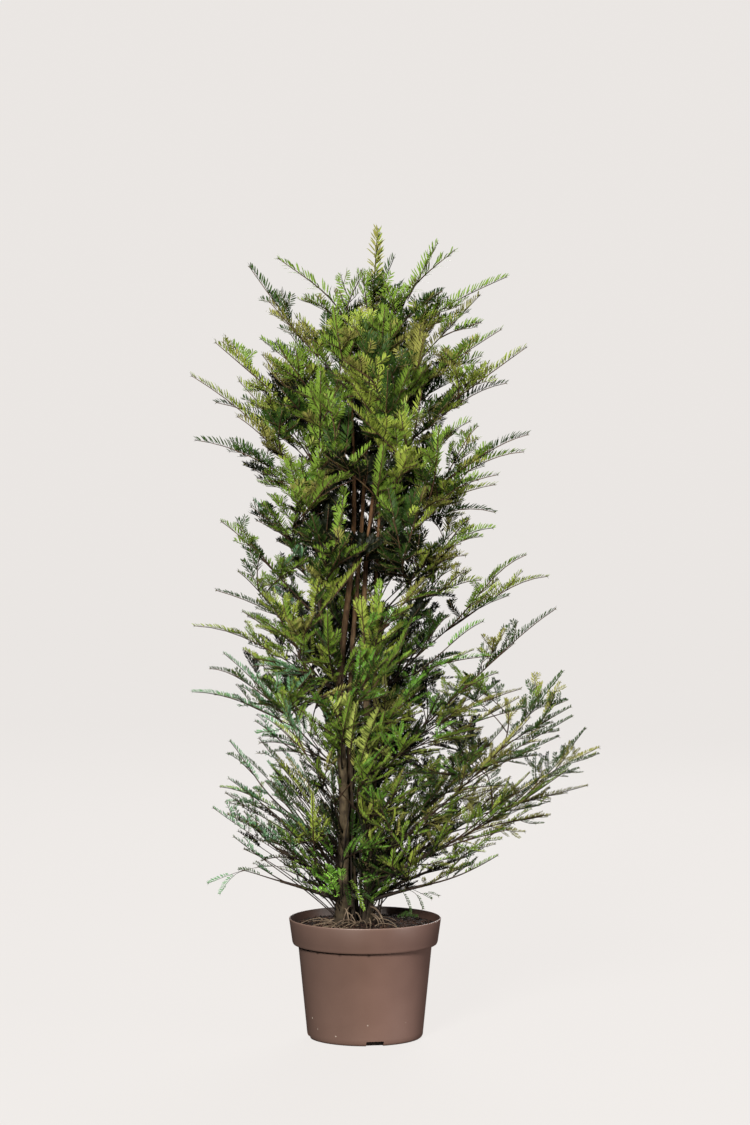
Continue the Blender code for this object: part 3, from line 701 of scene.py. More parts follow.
stand = {name: growStem(size) for name, size in stems.items()}
boughLimbs = {name: growBough(size) for name, size in boughs.items()}
boughLimbs["limb_left"] = growLeftLimb(leftLimb)
everyLimb = {**stand, **boughLimbs}
stemBark, youngBark, greenTwig = makeBarkMaterials()
for name, limb in everyLimb.items():
    pieceName = name.replace("_", "Bark_", 1)
    if name in stand:
        look = (barkedMesh(pieceName, limb, stemShape["sink"]), stemBark, "bark")
    else:
        look = (barkedMesh(pieceName, limb, boughShape["sink"]), youngBark, "young_bark")
    placePiece(pieceName, *look, [name], smooth=True)
print("stems and boughs barked")


# the crown's slanted tiers, as in the solids: each border's height and slope

crownAxis = (-0.005, 0.004)
borders = [(0.200, 0.20), (0.235, 0.45), (0.280, 0.75), (0.370, 0.80), (0.500, 0.85),
           (0.630, 0.85), (0.760, 0.88), (0.890, 0.95), (1.020, 1.05), (1.140, 1.10)]
# by side and tier, how far each mass reaches and how high in its tier
foliage = {
    "right": [(0.275, 0.75), (0.412, 0.46), (0.345, 0.55), (0.325, 0.68), (0.312, 0.25),
              (0.230, 0.75), (0.278, 0.22), (0.275, 0.22), (0.245, 0.22)],
    "left": [(0.265, 0.45), (0.250, 0.65), (0.298, 0.82), (0.292, 0.72), (0.252, 0.38),
             (0.250, 0.35), (0.298, 0.66), (0.255, 0.36), (0.200, 0.50)],
    "front": [None, (0.170, 0.50), (0.210, 0.45), (0.200, 0.50), (0.215, 0.45),
              (0.200, 0.50), (0.205, 0.50), (0.190, 0.45), (0.150, 0.50)],
    "back": [(0.190, 0.60), (0.230, 0.50), (0.255, 0.55), (0.245, 0.45), (0.230, 0.55),
             (0.215, 0.45), (0.215, 0.50), (0.200, 0.50), (0.160, 0.50)],
}
# where each side faces, how far its masses swing and how its shoots climb; then by tier how
# far out it is filled (only single shoots reach further), how shoots bend, how thickly they
# grow, how wide they fan and sway, and how much of its length each mass's axis has
crownSides = {
    "right": {"compass": 0, "swing": 7, "climb": -8,
              "filled": (0.74, 0.80, 0.84, 0.78, 0.72, 0.84, 0.74, 0.74, 0.62),
              "arch": (0.04, 0.04, 0.02, -0.10, -0.30, -0.30, -0.26, 0.0, 0.0),
              "thick": (0.85, 0.82, 0.78, 0.64, 0.60, 0.60, 0.64, 0.76, 0.90),
              "fan": (26,) * 3 + (45,) * 6, "sway": (16,) * 9, "axis": (0.80,) * 9},
    "left": {"compass": 180, "swing": 7, "climb": -7,
             "filled": (0.72, 0.74, 0.74, 0.76, 0.80, 0.80, 0.76, 0.72, 0.62),
             "arch": (-0.10, -0.18, -0.22, -0.22, -0.22, -0.20, -0.16, 0.0, 0.0),
             "thick": (0.85, 0.50, 0.44, 0.56, 0.64, 0.70, 0.78, 0.84, 0.90),
             "fan": (45,) * 9, "sway": (22,) * 3 + (16,) * 6,
             "axis": (0.60,) * 3 + (0.80,) * 6},
    "front": {"compass": 270, "swing": 24, "climb": 2,
              "filled": (0.85, 0.92, 0.90, 0.90, 0.90, 0.90, 0.90, 0.88, 0.66),
              "arch": (0.16,) * 9, "thick": (1.0,) * 9,
              "fan": (45,) * 9, "sway": (24,) * 9, "axis": (1.0,) * 9},
    "back": {"compass": 90, "swing": 24, "climb": 0,
             "filled": (0.80, 0.86, 0.88, 0.88, 0.88, 0.88, 0.88, 0.84, 0.62),
             "arch": (-0.13,) * 7 + (0.0,) * 2, "thick": (0.80,) * 9,
             "fan": (45,) * 9, "sway": (16,) * 9, "axis": (1.0,) * 9},
    "top": {"climb": 0, "arch": (0.0,) * 9, "thick": (1.0,) * 9},
}
fanSwing = (17, 8, 17)
backFanReach = 0.9
onLimbTip = {
    "right_front_0": "bough_right_low_front", "right_back_0": "bough_right_low_back",
    "right_front_1": "bough_right_mid_front", "right_back_1": "bough_right_mid_back",
    "right_front_2": "bough_right_high_front", "right_back_2": "bough_right_high_back",
    "left_0": "bough_left_low", "left_1": "bough_left_mid", "left_2": "bough_left_high",
    "left_6": "limb_left", "back_7": "stem_back",
}
tops = {
    "leader": ("stem_middle", (0.021, 0.000, 1.383)),
    "top_left": ("stem_left", (-0.146, -0.030, 1.333)),
    "top_right": ("stem_right", (0.150, -0.022, 1.346)),
}

# furthest shoots on each side: x and z of the tip, the climb and where it helps the depth
leaders = {
    "right": [(0.123, 1.356, 65), (0.162, 1.339, 47), (0.239, 1.296, 32), (0.174, 1.238, 22),
              (0.212, 1.214, 24), (0.230, 1.207, 40), (0.273, 1.177, 32), (0.239, 1.117, 32),
              (0.191, 1.044, 60), (0.276, 1.030, 34), (0.268, 1.001, 26), (0.225, 0.963, 25),
              (0.220, 0.946, 24), (0.220, 0.897, 20), (0.217, 0.869, 22), (0.273, 0.827, 30),
              (0.310, 0.787, 29), (0.324, 0.736, 37), (0.259, 0.741, 25), (0.225, 0.622, 25),
              (0.336, 0.622, 36), (0.350, 0.569, 30), (0.353, 0.553, 30), (0.375, 0.523, 28),
              (0.398, 0.495, 24), (0.379, 0.429, 22), (0.273, 0.352, 25), (0.201, 0.297, 24),
              (0.300, 0.605, 30), (0.265, 0.598, 32), (0.322, 0.588, 30), (0.285, 0.566, 28),
              (0.240, 0.575, 30), (0.330, 0.520, 26), (0.345, 0.470, 24),
              (0.300, 0.470, 24, -0.221), (0.240, 0.425, 24, -0.205)],
    "left": [(-0.144, 1.332, 41), (-0.196, 1.315, 50), (-0.253, 1.185, 38), (-0.225, 1.184, 45),
             (-0.176, 1.192, 45), (-0.213, 1.120, 40), (-0.293, 1.129, 46), (-0.287, 1.021, 30),
             (-0.244, 0.881, 26), (-0.253, 0.762, 28), (-0.215, 0.800, 36),
             (-0.290, 0.707, 30), (-0.258, 0.664, 28), (-0.263, 0.629, 28), (-0.293, 0.596, 20),
             (-0.234, 0.482, 18), (-0.246, 0.425, 22), (-0.234, 0.378, 25)],
    "top": [(0.049, 1.329, 70), (-0.004, 1.300, 66)],
}

Cell = namedtuple("Cell", "floor roof walls reach")


def spanOf(point):
    return math.hypot(point.x - crownAxis[0], point.y - crownAxis[1])


def insideCell(cell, point, slack):
    span = spanOf(point)
    (low, lowSlope), (high, highSlope) = cell.floor, cell.roof
    return (span <= cell.reach
            and low + lowSlope * span - slack <= point.z <= high + highSlope * span + slack
            and all((point.xy - edge).dot(across) > -slack for edge, across in cell.walls))


def insideBox(point, margin):
    return all(low + margin < value < high - margin
               for low, value, high in zip(cadLow, point, cadHigh))


def outermost(limbs, height, compass):
    towards = headingOf(compass, 0)
    found = [limbAt(limb, height) for limb in limbs]
    return max((place[0] for place in found if place), key=lambda point: point.dot(towards))


def cellWalls(part, left, right):
    half = math.sqrt(0.5)
    across = (right - left).normalized()
    back = Vector((-across.y, across.x))
    leftFront, leftBack = Vector((-half, -half)), Vector((-half, half))
    rightFront, rightBack = Vector((half, -half)), Vector((half, half))
    return {
        "left": [(left, leftFront), (left, leftBack)],
        "front": [(left, -back), (left, -leftBack), (right, -rightBack)],
        "back": [(left, back), (left, -leftFront), (right, -rightFront)],
        "right": [(right, rightFront), (right, rightBack)],
        "right_front": [(right, rightBack), (right, Vector((0, -1)))],
        "right_back": [(right, rightFront), (right, Vector((0, 1)))],
    }[part]


def massesOf(side, tier):
    reach = foliage[side][tier][0]
    if side == "right" and tier < len(fanSwing):
        swing = fanSwing[tier]
        return [(f"right_front_{tier}", "right_front", -swing, reach),
                (f"right_back_{tier}", "right_back", swing, reach * backFanReach)]
    name = f"{side}_{tier}"
    size = crownSides[side]
    swing = Random(name + " swing").uniform(-size["swing"], size["swing"])
    return [(name, side, size["compass"] + swing, reach)]


# how shoots branch: long shoots, their side shoots, and the last short ones

growth = {
    "tipRoom": 0.026, "tipMargin": 0.012, "tries": 105, "shortest": 0.055, "longest": 0.34,
    "axisRadius": 0.0017, "longRadius": 0.0013, "tipRadius": 0.0006, "roundness": 0.08,
    "boxMargin": 0.005, "slack": 0.012, "lean": 0.50, "fork": 48,
    "worst": 60, "worstLeader": 48, "anchorStep": 0.010, "anchorsFrom": 0.225,
    "anchored": 0.55, "shootAnchorStep": 0.018, "roomStep": 0.02, "claimStep": 0.012,
    "twinRoom": 0.024, "leaderDepth": (-0.07, 0.05), "bare": 0.48, "bareHigh": 0.36,
    "sideLength": (0.65, 1.15), "mostOfParent": 0.6, "shrinks": (1.0, 0.8, 0.62, 0.48),
    "shortestSide": 0.015, "carries": 0.034, "ownTint": 0.3, "turnToViewer": (0.5, 0.6, 0.8),
    "skirtFoot": 0.222, "skirtTurn": 0.13, "skirtSlopes": (0.35, 0.52),
}
# side shoots on the loose lower left, and elsewhere
loose = {"right": -0.04, "top": 0.58, "widen": 1.35, "bends": (-0.35, 0.35), "roundness": 0.4}
close = {"widen": 1.0, "bends": (-0.08, 0.22), "roundness": 0.06}
topShoots = {
    "tries": 90, "x": (-0.07, 0.13), "y": (-0.10, 0.10), "foot": 1.19, "height": 0.100,
    "middle": 0.03, "halfWidth": 0.14, "rise": (42, 66), "bare": 0.14, "room": 0.024,
}
heart = {
    "tries": 260, "reach": ((-0.12, 0.13), (0.03, 0.12), (0.42, 1.12)), "room": 0.018,
    "rise": (20, 60), "bare": 0.3, "radius": 0.0011,
}
footTwigs = {
    "tries": 170, "turn": (-70, 70), "foot": (0.196, 0.29), "rise": (36, 72), "room": 0.012,
    "length": (0.11, 0.29), "bend": (-0.2, 0.15), "bare": (0.55, 0.85),
    "radius": (0.0007, 0.0014),
}
suckers = {
    "count": 24, "x": (-0.036, 0.022), "y": (-0.020, 0.045), "rise": (58, 84),
    "length": (0.10, 0.24), "bend": (-0.2, 0.2), "bare": (0.75, 0.9), "radius": (0.0012, 0.0024),
}
slitSuckers = {                         # every third one closes the slit between the feet
    **suckers, "x": (-0.018, -0.002), "y": (0.0, 0.03), "rise": (80, 89),
    "radius": (0.0012, 0.0032),
}
fillers = {
    "onStems": 480, "stemLength": (0.04, 0.11), "stemFrom": 0.235, "stemSpan": 0.93,
    "stemRise": (25, 60), "atFoot": 70, "footFrom": (0.200, 0.290), "footLength": (0.03, 0.06),
    "footRise": (30, 65), "onBough": 9, "boughLength": (0.05, 0.10), "lean": (-20, 75),
    "turn": 137.5, "room": 0.014, "middleRoom": 0.012, "radius": 0.0011,
}
# the side shoots of long shoots, and those of side shoots
branching = [
    {"first": 0.16, "last": 0.78, "step": 0.0085, "spread": (32, 60), "lean": (-35, 65),
     "low": 0.078, "high": 0.034, "radius": 0.0009, "forward": 0.28, "bare": 0.06,
     "room": 0.0100, "tip": 0.0004},
    {"first": 0.20, "last": 0.80, "step": 0.0090, "spread": (32, 56), "lean": (-30, 45),
     "low": 0.042, "high": 0.022, "radius": 0.0006, "forward": 0.22, "bare": 0.04,
     "room": 0.0082, "tip": 0.0004},
]
needle = {
    "length": (0.0165, 0.0215), "halfWidth": 0.00116, "step": 0.0042, "lifts": (44, 34, 28),
    "baseAngle": 62, "tipAngle": 30, "scales": (1.0, 0.80, 0.68),
    "low": 0.44, "lowHeight": 0.50, "highHeight": 1.05,
    "tuft": 4, "tuftLength": (0.0035, 0.006), "bud": tone(74, 70, 40),
    "shadeWidth": 1.7, "mostInPiece": 48000,
}
palette = {
    "Sunlit": tone(150, 162, 80), "Yellow": tone(128, 142, 56), "Mid": tone(100, 126, 44),
    "Fresh": tone(90, 132, 48), "Deep": tone(42, 64, 22), "Blue": tone(92, 130, 92),
    # the last tint on the next line, near black, is painted shade for the heart of the crown
    "Olive": tone(122, 122, 60), "Bronze": tone(132, 106, 64), "Inner": tone(12, 18, 5),
    # Lime: the fresh growth's green, made lighter as painted light, since its sprigs sit in shade
    "Lime": tone(160, 220, 88),
}

# where each tint gathers: x and z of a patch, its half width and height, and its weights
patches = [
    (0.03, 1.25, 0.12, 0.10, {"Mid": 1.0, "Yellow": 0.8, "Olive": 5.0, "Deep": 4.5}),
    (-0.12, 1.15, 0.10, 0.10, {"Yellow": 1.6, "Mid": 2.8, "Sunlit": 0.6, "Fresh": 0.3}),
    (0.18, 1.10, 0.10, 0.12, {"Mid": 2.5, "Yellow": 1.5}),
    (-0.28, 1.12, 0.04, 0.04, {"Fresh": 2.5}),
    (-0.10, 0.98, 0.08, 0.07, {"Mid": 3.0, "Deep": 0.5}),
    (-0.20, 0.85, 0.08, 0.09, {"Blue": 1.6, "Deep": 2.0, "Mid": 1.0}),
    (0.15, 0.86, 0.08, 0.10, {"Yellow": 2.5, "Mid": 2.0, "Olive": 1.0}),
    (0.25, 0.78, 0.09, 0.06, {"Yellow": 3.0, "Olive": 1.5, "Sunlit": 0.5}),
    (0.00, 0.80, 0.06, 0.08, {"Yellow": 2.0, "Olive": 1.5, "Mid": 1.5}),
    (0.10, 0.60, 0.11, 0.10, {"Fresh": 7.0, "Mid": 2.0, "Deep": 2.0}),
    (0.03, 0.54, 0.05, 0.05, {"Sunlit": 2.5, "Yellow": 2.0}),
    (-0.18, 0.62, 0.10, 0.08, {"Blue": 2.0, "Mid": 2.5, "Yellow": 1.0}),
    (-0.22, 0.40, 0.10, 0.10, {"Blue": 6.0, "Deep": 2.0}),
    (0.24, 0.50, 0.12, 0.10, {"Olive": 3.5, "Bronze": 0.4, "Yellow": 0.4, "Deep": 4.0}),
    (0.18, 0.38, 0.10, 0.08, {"Olive": 3.0, "Mid": 1.0, "Yellow": 0.8, "Deep": 2.0}),
    (-0.05, 0.29, 0.05, 0.04, {"Fresh": 6.0, "Sunlit": 1.0}),
    # painted shade: the darkest tint fills the hollow behind the stems
    (0.00, 0.90, 0.05, 0.07, {"Inner": 6.0}), (-0.06, 0.92, 0.06, 0.08, {"Inner": 3.0}),
    (-0.25, 0.66, 0.06, 0.12, {"Mid": 2.0, "Deep": 2.0}),
    (0.34, 0.56, 0.08, 0.12, {"Olive": 6.0, "Deep": 14.0}),
    (0.24, 1.05, 0.06, 0.20, {"Mid": 3.0, "Olive": 2.0, "Deep": 1.0}),
]
everywhere = {"Mid": 1.2, "Deep": 0.9, "Yellow": 0.6, "Olive": 0.25}
# painted shade: the dark heart of the crown, and what lies behind the stems, are dealt the darkest
# tints
shaded = {"width": 0.20, "depth": 0.11, "y": 0.02, "top": 1.18, "fade": 0.15,
          "Inner": 12.0, "Deep": 3.0}
behind = {"y": 0.13, "x": 0.22, "Deep": 1.5,
          "innerY": 0.11, "innerX": 0.11, "innerTop": 1.15, "Inner": 2.5}

# places kept open: x, z, half width, half height and how far back from the front
openings = [
    (-0.004, 0.912, 0.024, 0.044, 0.010), (-0.052, 1.034, 0.005, 0.012, 0.3),
    (-0.107, 0.769, 0.014, 0.016, 0.3), (0.058, 0.765, 0.014, 0.018, 0.3),
    (-0.034, 0.345, 0.022, 0.090, 0.0), (-0.030, 0.480, 0.014, 0.050, 0.0),
    (-0.030, 0.700, 0.012, 0.090, 0.0), (-0.016, 1.040, 0.010, 0.050, 0.0),
    (-0.087, 1.222, 0.016, 0.014, 0.3), (-0.085, 1.290, 0.026, 0.024, 0.3),
    (0.136, 1.190, 0.030, 0.013, 0.3), (0.102, 1.290, 0.014, 0.022, 0.3),
    (-0.205, 0.512, 0.026, 0.016, 0.3), (-0.168, 0.466, 0.020, 0.012, 0.3),
    (0.190, 0.640, 0.020, 0.012, 0.3), (0.160, 0.715, 0.018, 0.014, 0.3),
    (-0.013, 0.800, 0.006, 0.022, 0.3), (0.006, 0.765, 0.005, 0.030, 0.3),
    (0.034, 0.762, 0.007, 0.012, 0.3), (-0.066, 1.020, 0.006, 0.007, 0.3),
]

# parts thin enough for the sky to show through: x, z, half width, half height, open share
airy = [
    (-0.120, 0.42, 0.060, 0.13, 0.90), (-0.19, 0.42, 0.05, 0.08, 0.60),
    (0.155, 0.72, 0.055, 0.12, 0.50), (0.155, 1.03, 0.05, 0.10, 0.40),
    (-0.20, 0.82, 0.06, 0.16, 0.40), (0.225, 0.66, 0.05, 0.08, 0.60),
    (0.245, 0.37, 0.07, 0.05, 0.70), (0.245, 0.60, 0.035, 0.05, 0.60),
    (0.26, 0.49, 0.08, 0.08, 0.60), (-0.24, 0.64, 0.05, 0.04, 0.50),
    (-0.245, 0.44, 0.04, 0.05, 0.55), (-0.15, 0.33, 0.06, 0.06, 0.70),
    (0.105, 1.05, 0.05, 0.05, 0.50), (0.105, 0.85, 0.05, 0.05, 0.50),
    (0.20, 0.41, 0.05, 0.05, 0.45), (-0.13, 0.70, 0.05, 0.06, 0.35),
    (-0.20, 1.05, 0.05, 0.08, 0.40), (0.09, 0.42, 0.05, 0.10, 0.30),
    (0.22, 0.93, 0.05, 0.09, 0.35),
]
gaps = {"size": 0.034, "shift": (7.3, 0, 2.1), "level": 0.46, "gain": 0.85}

# sprigs that stand alone: start, end, rise, compass, bare share, tint, radius and needle size
sprigs = [
    ((0.072, -0.020, 1.258), (0.122, -0.030, 1.352), 62, 350, 0.05, "Mid", 0.0013, 1.0),
    ((0.004, -0.030, 1.240), (-0.006, -0.040, 1.306), 84, 190, 0.05, "Mid", 0.0011, 0.8),
    ((-0.039, -0.014, 0.300), (-0.013, -0.030, 0.492), 76, 300, 0.86, "Olive", 0.0014, 0.8),
    ((-0.030, -0.020, 0.268), (-0.002, -0.058, 0.226), 35, 285, 0.20, "Mid", 0.0009, 0.42),
    ((-0.028, -0.016, 0.250), (0.014, -0.056, 0.238), 40, 300, 0.20, "Deep", 0.0009, 0.42),
    ((-0.034, -0.020, 0.262), (-0.026, -0.062, 0.236), 30, 275, 0.20, "Deep", 0.0009, 0.42),
    ((-0.040, -0.020, 0.235), (-0.082, -0.110, 0.290), 40, 245, 0.45, "Lime", 0.0010, 0.7),
    ((-0.040, -0.020, 0.240), (-0.064, -0.122, 0.310), 45, 255, 0.45, "Lime", 0.0010, 0.7),
    ((-0.038, -0.020, 0.245), (-0.040, -0.118, 0.302), 42, 270, 0.45, "Lime", 0.0010, 0.7),
    ((-0.042, -0.020, 0.230), (-0.074, -0.118, 0.268), 30, 250, 0.45, "Lime", 0.0010, 0.7),
    ((-0.042, -0.020, 0.230), (-0.056, -0.122, 0.282), 30, 262, 0.45, "Lime", 0.0010, 0.7),
    ((-0.030, -0.050, 0.440), (-0.014, -0.165, 0.585), 60, 280, 0.40, "Sunlit", 0.0012, 0.95),
    ((-0.020, -0.050, 0.430), (0.024, -0.170, 0.578), 56, 290, 0.40, "Sunlit", 0.0012, 0.95),
    ((-0.028, -0.050, 0.470), (-0.030, -0.160, 0.600), 60, 270, 0.45, "Sunlit", 0.0011, 0.85),
    ((0.012, -0.020, 0.262), (0.112, -0.060, 0.246), 22, 335, 0.85, "Deep", 0.0006, 0.3),
    ((0.052, -0.036, 0.262), (0.078, -0.060, 0.222), -5, 320, 0.40, "Deep", 0.0005, 0.24),
    ((0.076, -0.046, 0.258), (0.098, -0.066, 0.230), -10, 330, 0.40, "Deep", 0.0005, 0.22),
    ((0.094, -0.052, 0.253), (0.124, -0.070, 0.252), 15, 345, 0.35, "Deep", 0.0005, 0.22),
    ((-0.120, -0.010, 0.290), (-0.266, -0.030, 0.268), 14, 185, 0.75, "Blue", 0.0006, 0.4),
    ((-0.200, -0.020, 0.288), (-0.246, -0.040, 0.252), 5, 200, 0.40, "Blue", 0.0005, 0.4),
    ((-0.040, -0.010, 0.235), (-0.094, -0.030, 0.262), 35, 200, 0.95, "Deep", 0.0006, 0.3),
    ((0.052, 0.048, 0.196), (0.090, 0.036, 0.200), 12, 340, 0.05, "Deep", 0.0007, 0.45),
    ((0.060, 0.046, 0.197), (0.076, 0.064, 0.202), 20, 50, 0.05, "Deep", 0.0006, 0.4),
]

Row = namedtuple("Row", "shoot order bare scale roundness tint")
grown = []                              # every shoot that bears needles
woody = []                              # every twig with its order
longShoots = []                         # those that carry side shoots, and how these grow
taken = {}                              # where shoots already grow, by small cubes
anchors = {"points": [], "headings": []}


def bucketOf(point):
    return tuple(math.floor(value / growth["roomStep"]) for value in point)


def claim(shoot, first):
    steps = int((shoot.end - shoot.start).length / growth["claimStep"]) + 2
    for step in range(steps):
        point = pointOn(shoot, first + (1 - first) * step / (steps - 1))
        taken.setdefault(bucketOf(point), []).append(point)


def crowded(point, room):
    x, y, z = bucketOf(point)
    near = (taken.get((x + i, y + j, z + k), ())
            for i in (-1, 0, 1) for j in (-1, 0, 1) for k in (-1, 0, 1))
    return any((point - other).length < room for group in near for other in group)


def belowSkirt(point):
    span, turn = spanOf(point), growth["skirtTurn"]
    inner, outer = growth["skirtSlopes"]
    return point.z < growth["skirtFoot"] + inner * min(span, turn) + outer * max(0, span - turn)


def inOpening(point):
    return belowSkirt(point) or any(
        abs(point.x - x) < wide and abs(point.z - z) < high and point.y < depth
        for x, z, wide, high, depth in openings)


def nearness(point, x, z, width, height):
    return math.exp(-(((point.x - x) / width) ** 2 + ((point.z - z) / height) ** 2))


def inGap(point):
    # small gaps, more of them where the crown is airy
    share = max(nearness(point, *place) * openShare for *place, openShare in airy)
    speck = noise.noise(Vector((point.x, 0, point.z)) / gaps["size"] + Vector(gaps["shift"]))
    return speck > gaps["level"] - gaps["gain"] * share


def blocked(end, middle, room, middleRoom):
    return (not insideBox(end, growth["boxMargin"]) or inOpening(end) or inOpening(middle)
            or inGap(end) or crowded(end, room) or crowded(middle, middleRoom))


def dealTint(place, draw):
    weights = dict.fromkeys(palette, 0.0)
    weights.update(everywhere)
    for *patch, shares in patches:
        near = nearness(place, *patch)
        for tint, share in shares.items():
            weights[tint] += share * near
    # painted shade: the crown's heart and the part just behind the stems get more of the darkest
    # tints
    hidden = max(0.0, 1 - math.hypot((place.x - crownAxis[0]) / shaded["width"],
                                     (place.y - shaded["y"]) / shaded["depth"]))
    hidden *= min(1.0, max(0.0, (shaded["top"] - place.z) / shaded["fade"]))
    weights["Inner"] += shaded["Inner"] * hidden
    weights["Deep"] += shaded["Deep"] * hidden
    if 0.0 < place.y < behind["y"] and abs(place.x) < behind["x"]:
        weights["Deep"] += behind["Deep"]
        if (place.y < behind["innerY"] and abs(place.x) < behind["innerX"]
                and place.z < behind["innerTop"]):
            weights["Inner"] += behind["Inner"]
    return draw.choices(list(weights), list(weights.values()))[0]


def addShoot(shoot, order, bare, roundness, tint):
    low, high = needle["lowHeight"], needle["highHeight"]
    share = min(1.0, max(0.0, (shoot.end.z - low) / (high - low)))
    scale = needle["scales"][order] * (needle["low"] + (1 - needle["low"]) * share)
    grown.append(Row(shoot, order, bare, scale, roundness, tint))
    woody.append((shoot, order))
    claim(shoot, 0.3)


def retouch(**changes):
    grown[-1] = grown[-1]._replace(**changes)


def addAnchor(point, heading):
    anchors["points"].append(point[:])
    anchors["headings"].append(heading[:])


def bestAnchor(target, rise):
    # the place to fork from: near, at the wanted climb, and not bent back
    runs = np.array(target[:]) - np.array(anchors["points"])
    lengths = np.linalg.norm(runs, axis=1)
    climbs = np.degrees(np.arcsin(runs[:, 2] / lengths))
    turns = (runs * np.array(anchors["headings"])).sum(1) / lengths
    turns = np.degrees(np.arccos(np.clip(turns, -1, 1)))
    scores = np.abs(climbs - rise) + 2.5 * np.maximum(0, turns - growth["fork"]) + lengths * 70
    scores += np.where((lengths < growth["shortest"]) | (lengths > growth["longest"]), 500, 0)
    best = int(np.argmin(scores))
    return Vector(anchors["points"][best]), Vector(anchors["headings"][best]), scores[best]


def growSides(parent, order, cell, draw, tint, thin=1.0, upturn=0.0, last=None):
    rule = branching[order]
    habit = loose if parent.end.x < loose["right"] and parent.end.z < loose["top"] else close
    length = (parent.end - parent.start).length
    begin, finish = rule["first"], last or rule["last"]
    count = max(1, int(length * (finish - begin) / (rule["step"] / thin)))
    for number in range(count):
        t = begin + (finish - begin) * (number + draw.random()) / count
        root, along = pointOn(parent, t), headingOn(parent, t)
        upward, sideways = ringAxes(along)
        if number % 2:
            sideways = -sideways
        share = (t - begin) / (finish - begin)
        longest = rule["low"] + (rule["high"] - rule["low"]) * share
        longest = min(longest, length * growth["mostOfParent"])
        longest *= draw.uniform(*growth["sideLength"])
        for shrink in growth["shrinks"]:
            reach = longest * shrink
            if reach < growth["shortestSide"]:
                break
            spread = math.radians(draw.uniform(*rule["spread"])) * habit["widen"]
            lean = math.radians(draw.uniform(*rule["lean"]))
            outward = sideways * math.cos(lean) + upward * math.sin(lean)
            heading = along * math.cos(spread) + outward * math.sin(spread)
            aim = (heading + along * rule["forward"]).normalized()
            end, middle = root + aim * reach, root + aim * reach * 0.65
            if blocked(end, middle, rule["room"], rule["room"] * 0.8) or inGap(middle):
                continue
            if cell and not insideCell(cell, end, growth["slack"]):
                continue
            face = (upward + outward * draw.uniform(-0.3, 0.3)
                    + toViewer * draw.uniform(0, growth["turnToViewer"][0])).normalized()
            shoot = shootTo(root, heading, end, upturn + draw.uniform(*habit["bends"]),
                            rule["radius"], rule["tip"], face)
            mixed = tint != "Inner" and draw.random() < growth["ownTint"]
            own = dealTint(end, draw) if mixed else tint
            addShoot(shoot, order + 1, rule["bare"], habit["roundness"], own)
            if order == 0 and reach > growth["carries"]:
                growSides(shoot, 1, cell, draw, own, thin, upturn)
            break


def growLong(start, heading, end, draw, upturn, bare, roundness, radius,
             anchored=growth["anchored"]):
    turn = draw.uniform(0, growth["turnToViewer"][1])
    face = faceTowards((end - start).normalized(), turn)
    shoot = shootTo(start, heading, end, upturn, radius, growth["tipRadius"], face)
    tint = dealTint(start.lerp(end, 0.8), draw)
    addShoot(shoot, 0, bare, roundness, tint)
    steps = int((end - start).length * anchored / growth["shootAnchorStep"])
    for step in range(1, steps + 1):
        t = anchored * step / steps
        addAnchor(pointOn(shoot, t), headingOn(shoot, t))
    return shoot, tint


def growTo(target, rise, upturn, bare, draw, radius=growth["longRadius"],
           worst=growth["worst"]):
    start, carrier, score = bestAnchor(target, rise)
    if score > worst or any(inOpening(start.lerp(target, share)) for share in (0.5, 0.75, 1.0)):
        return None
    heading = (carrier * growth["lean"] + (target - start).normalized()).normalized()
    return growLong(start, heading, target, draw, upturn, bare, growth["roundness"],
                    radius)


def keepLong(found, cell, thin, upturn, last):
    if found:
        longShoots.append((*found, cell, thin, upturn, last))


def tierHeight(border, span):
    height, slope = borders[border]
    return height + slope * span


def rootOf(name, tier, compass, limbs):
    if name in onLimbTip:
        limb = everyLimb[onLimbTip[name]]
        return limb.points[-1], limb.headings[-1]
    (low, lowSlope), (high, highSlope) = borders[tier:tier + 2]
    heading = headingOf(compass, math.degrees(math.atan((lowSlope + highSlope) / 2)))
    return outermost(limbs, (low + high) / 2 + 0.02, compass), heading


def cellsOf(limbs):
    for tier in range(len(borders) - 1):
        height = max((borders[tier][0] + borders[tier + 1][0]) / 2 + 0.02, stemFoot + 0.03)
        left = outermost(limbs, height, 180).xy
        right = outermost(limbs, height, 0).xy
        for side, sizes in foliage.items():
            if sizes[tier] is None:
                continue
            for name, part, compass, reach in massesOf(side, tier):
                cell = Cell(borders[tier], borders[tier + 1], cellWalls(part, left, right), reach)
                low, high = tierHeight(tier, reach), tierHeight(tier + 1, reach)
                tip = headingOf(compass, 0) * (reach - 0.007) + Vector(
                    (*crownAxis, low + (high - low) * sizes[tier][1]))
                yield name, side, tier, compass, cell, tip


def waysOf(side, tier):
    # how the side's shoots climb and arch, how much of each is bare, and how thick they grow
    size = crownSides[side]
    rise = math.degrees(math.atan((borders[tier][1] + borders[tier + 1][1]) / 2))
    bare = growth["bareHigh" if tier > 6 else "bare"]
    return rise + size["climb"], size["arch"][tier], bare, size["thick"][tier]


def anchorLimbs():
    for name, limb in everyLimb.items():
        count, length = len(limb.points), (limb.points[-1] - limb.points[0]).length
        first = count // 2 if name.startswith("bough") else 0
        for ring in range(first, count, max(1, round(count * growth["anchorStep"] / length))):
            if limb.points[ring].z > growth["anchorsFrom"]:
                addAnchor(limb.points[ring], limb.headings[ring])


def growAxes(limbs):
    # the middle shoot of each mass
    masses = []
    for name, side, tier, compass, cell, tip in cellsOf(limbs):
        draw = Random(name)
        start, heading = rootOf(name, tier, compass, limbs)
        _, upturn, bare, thin = waysOf(side, tier)
        tip = start.lerp(tip, crownSides[side]["axis"][tier])
        axis = growLong(start, heading, tip, draw, upturn, bare, growth["roundness"],
                        growth["axisRadius"])
        keepLong(axis, cell, thin, upturn, 0.66)
        masses.append((side, tier, compass, cell, draw))
    return masses


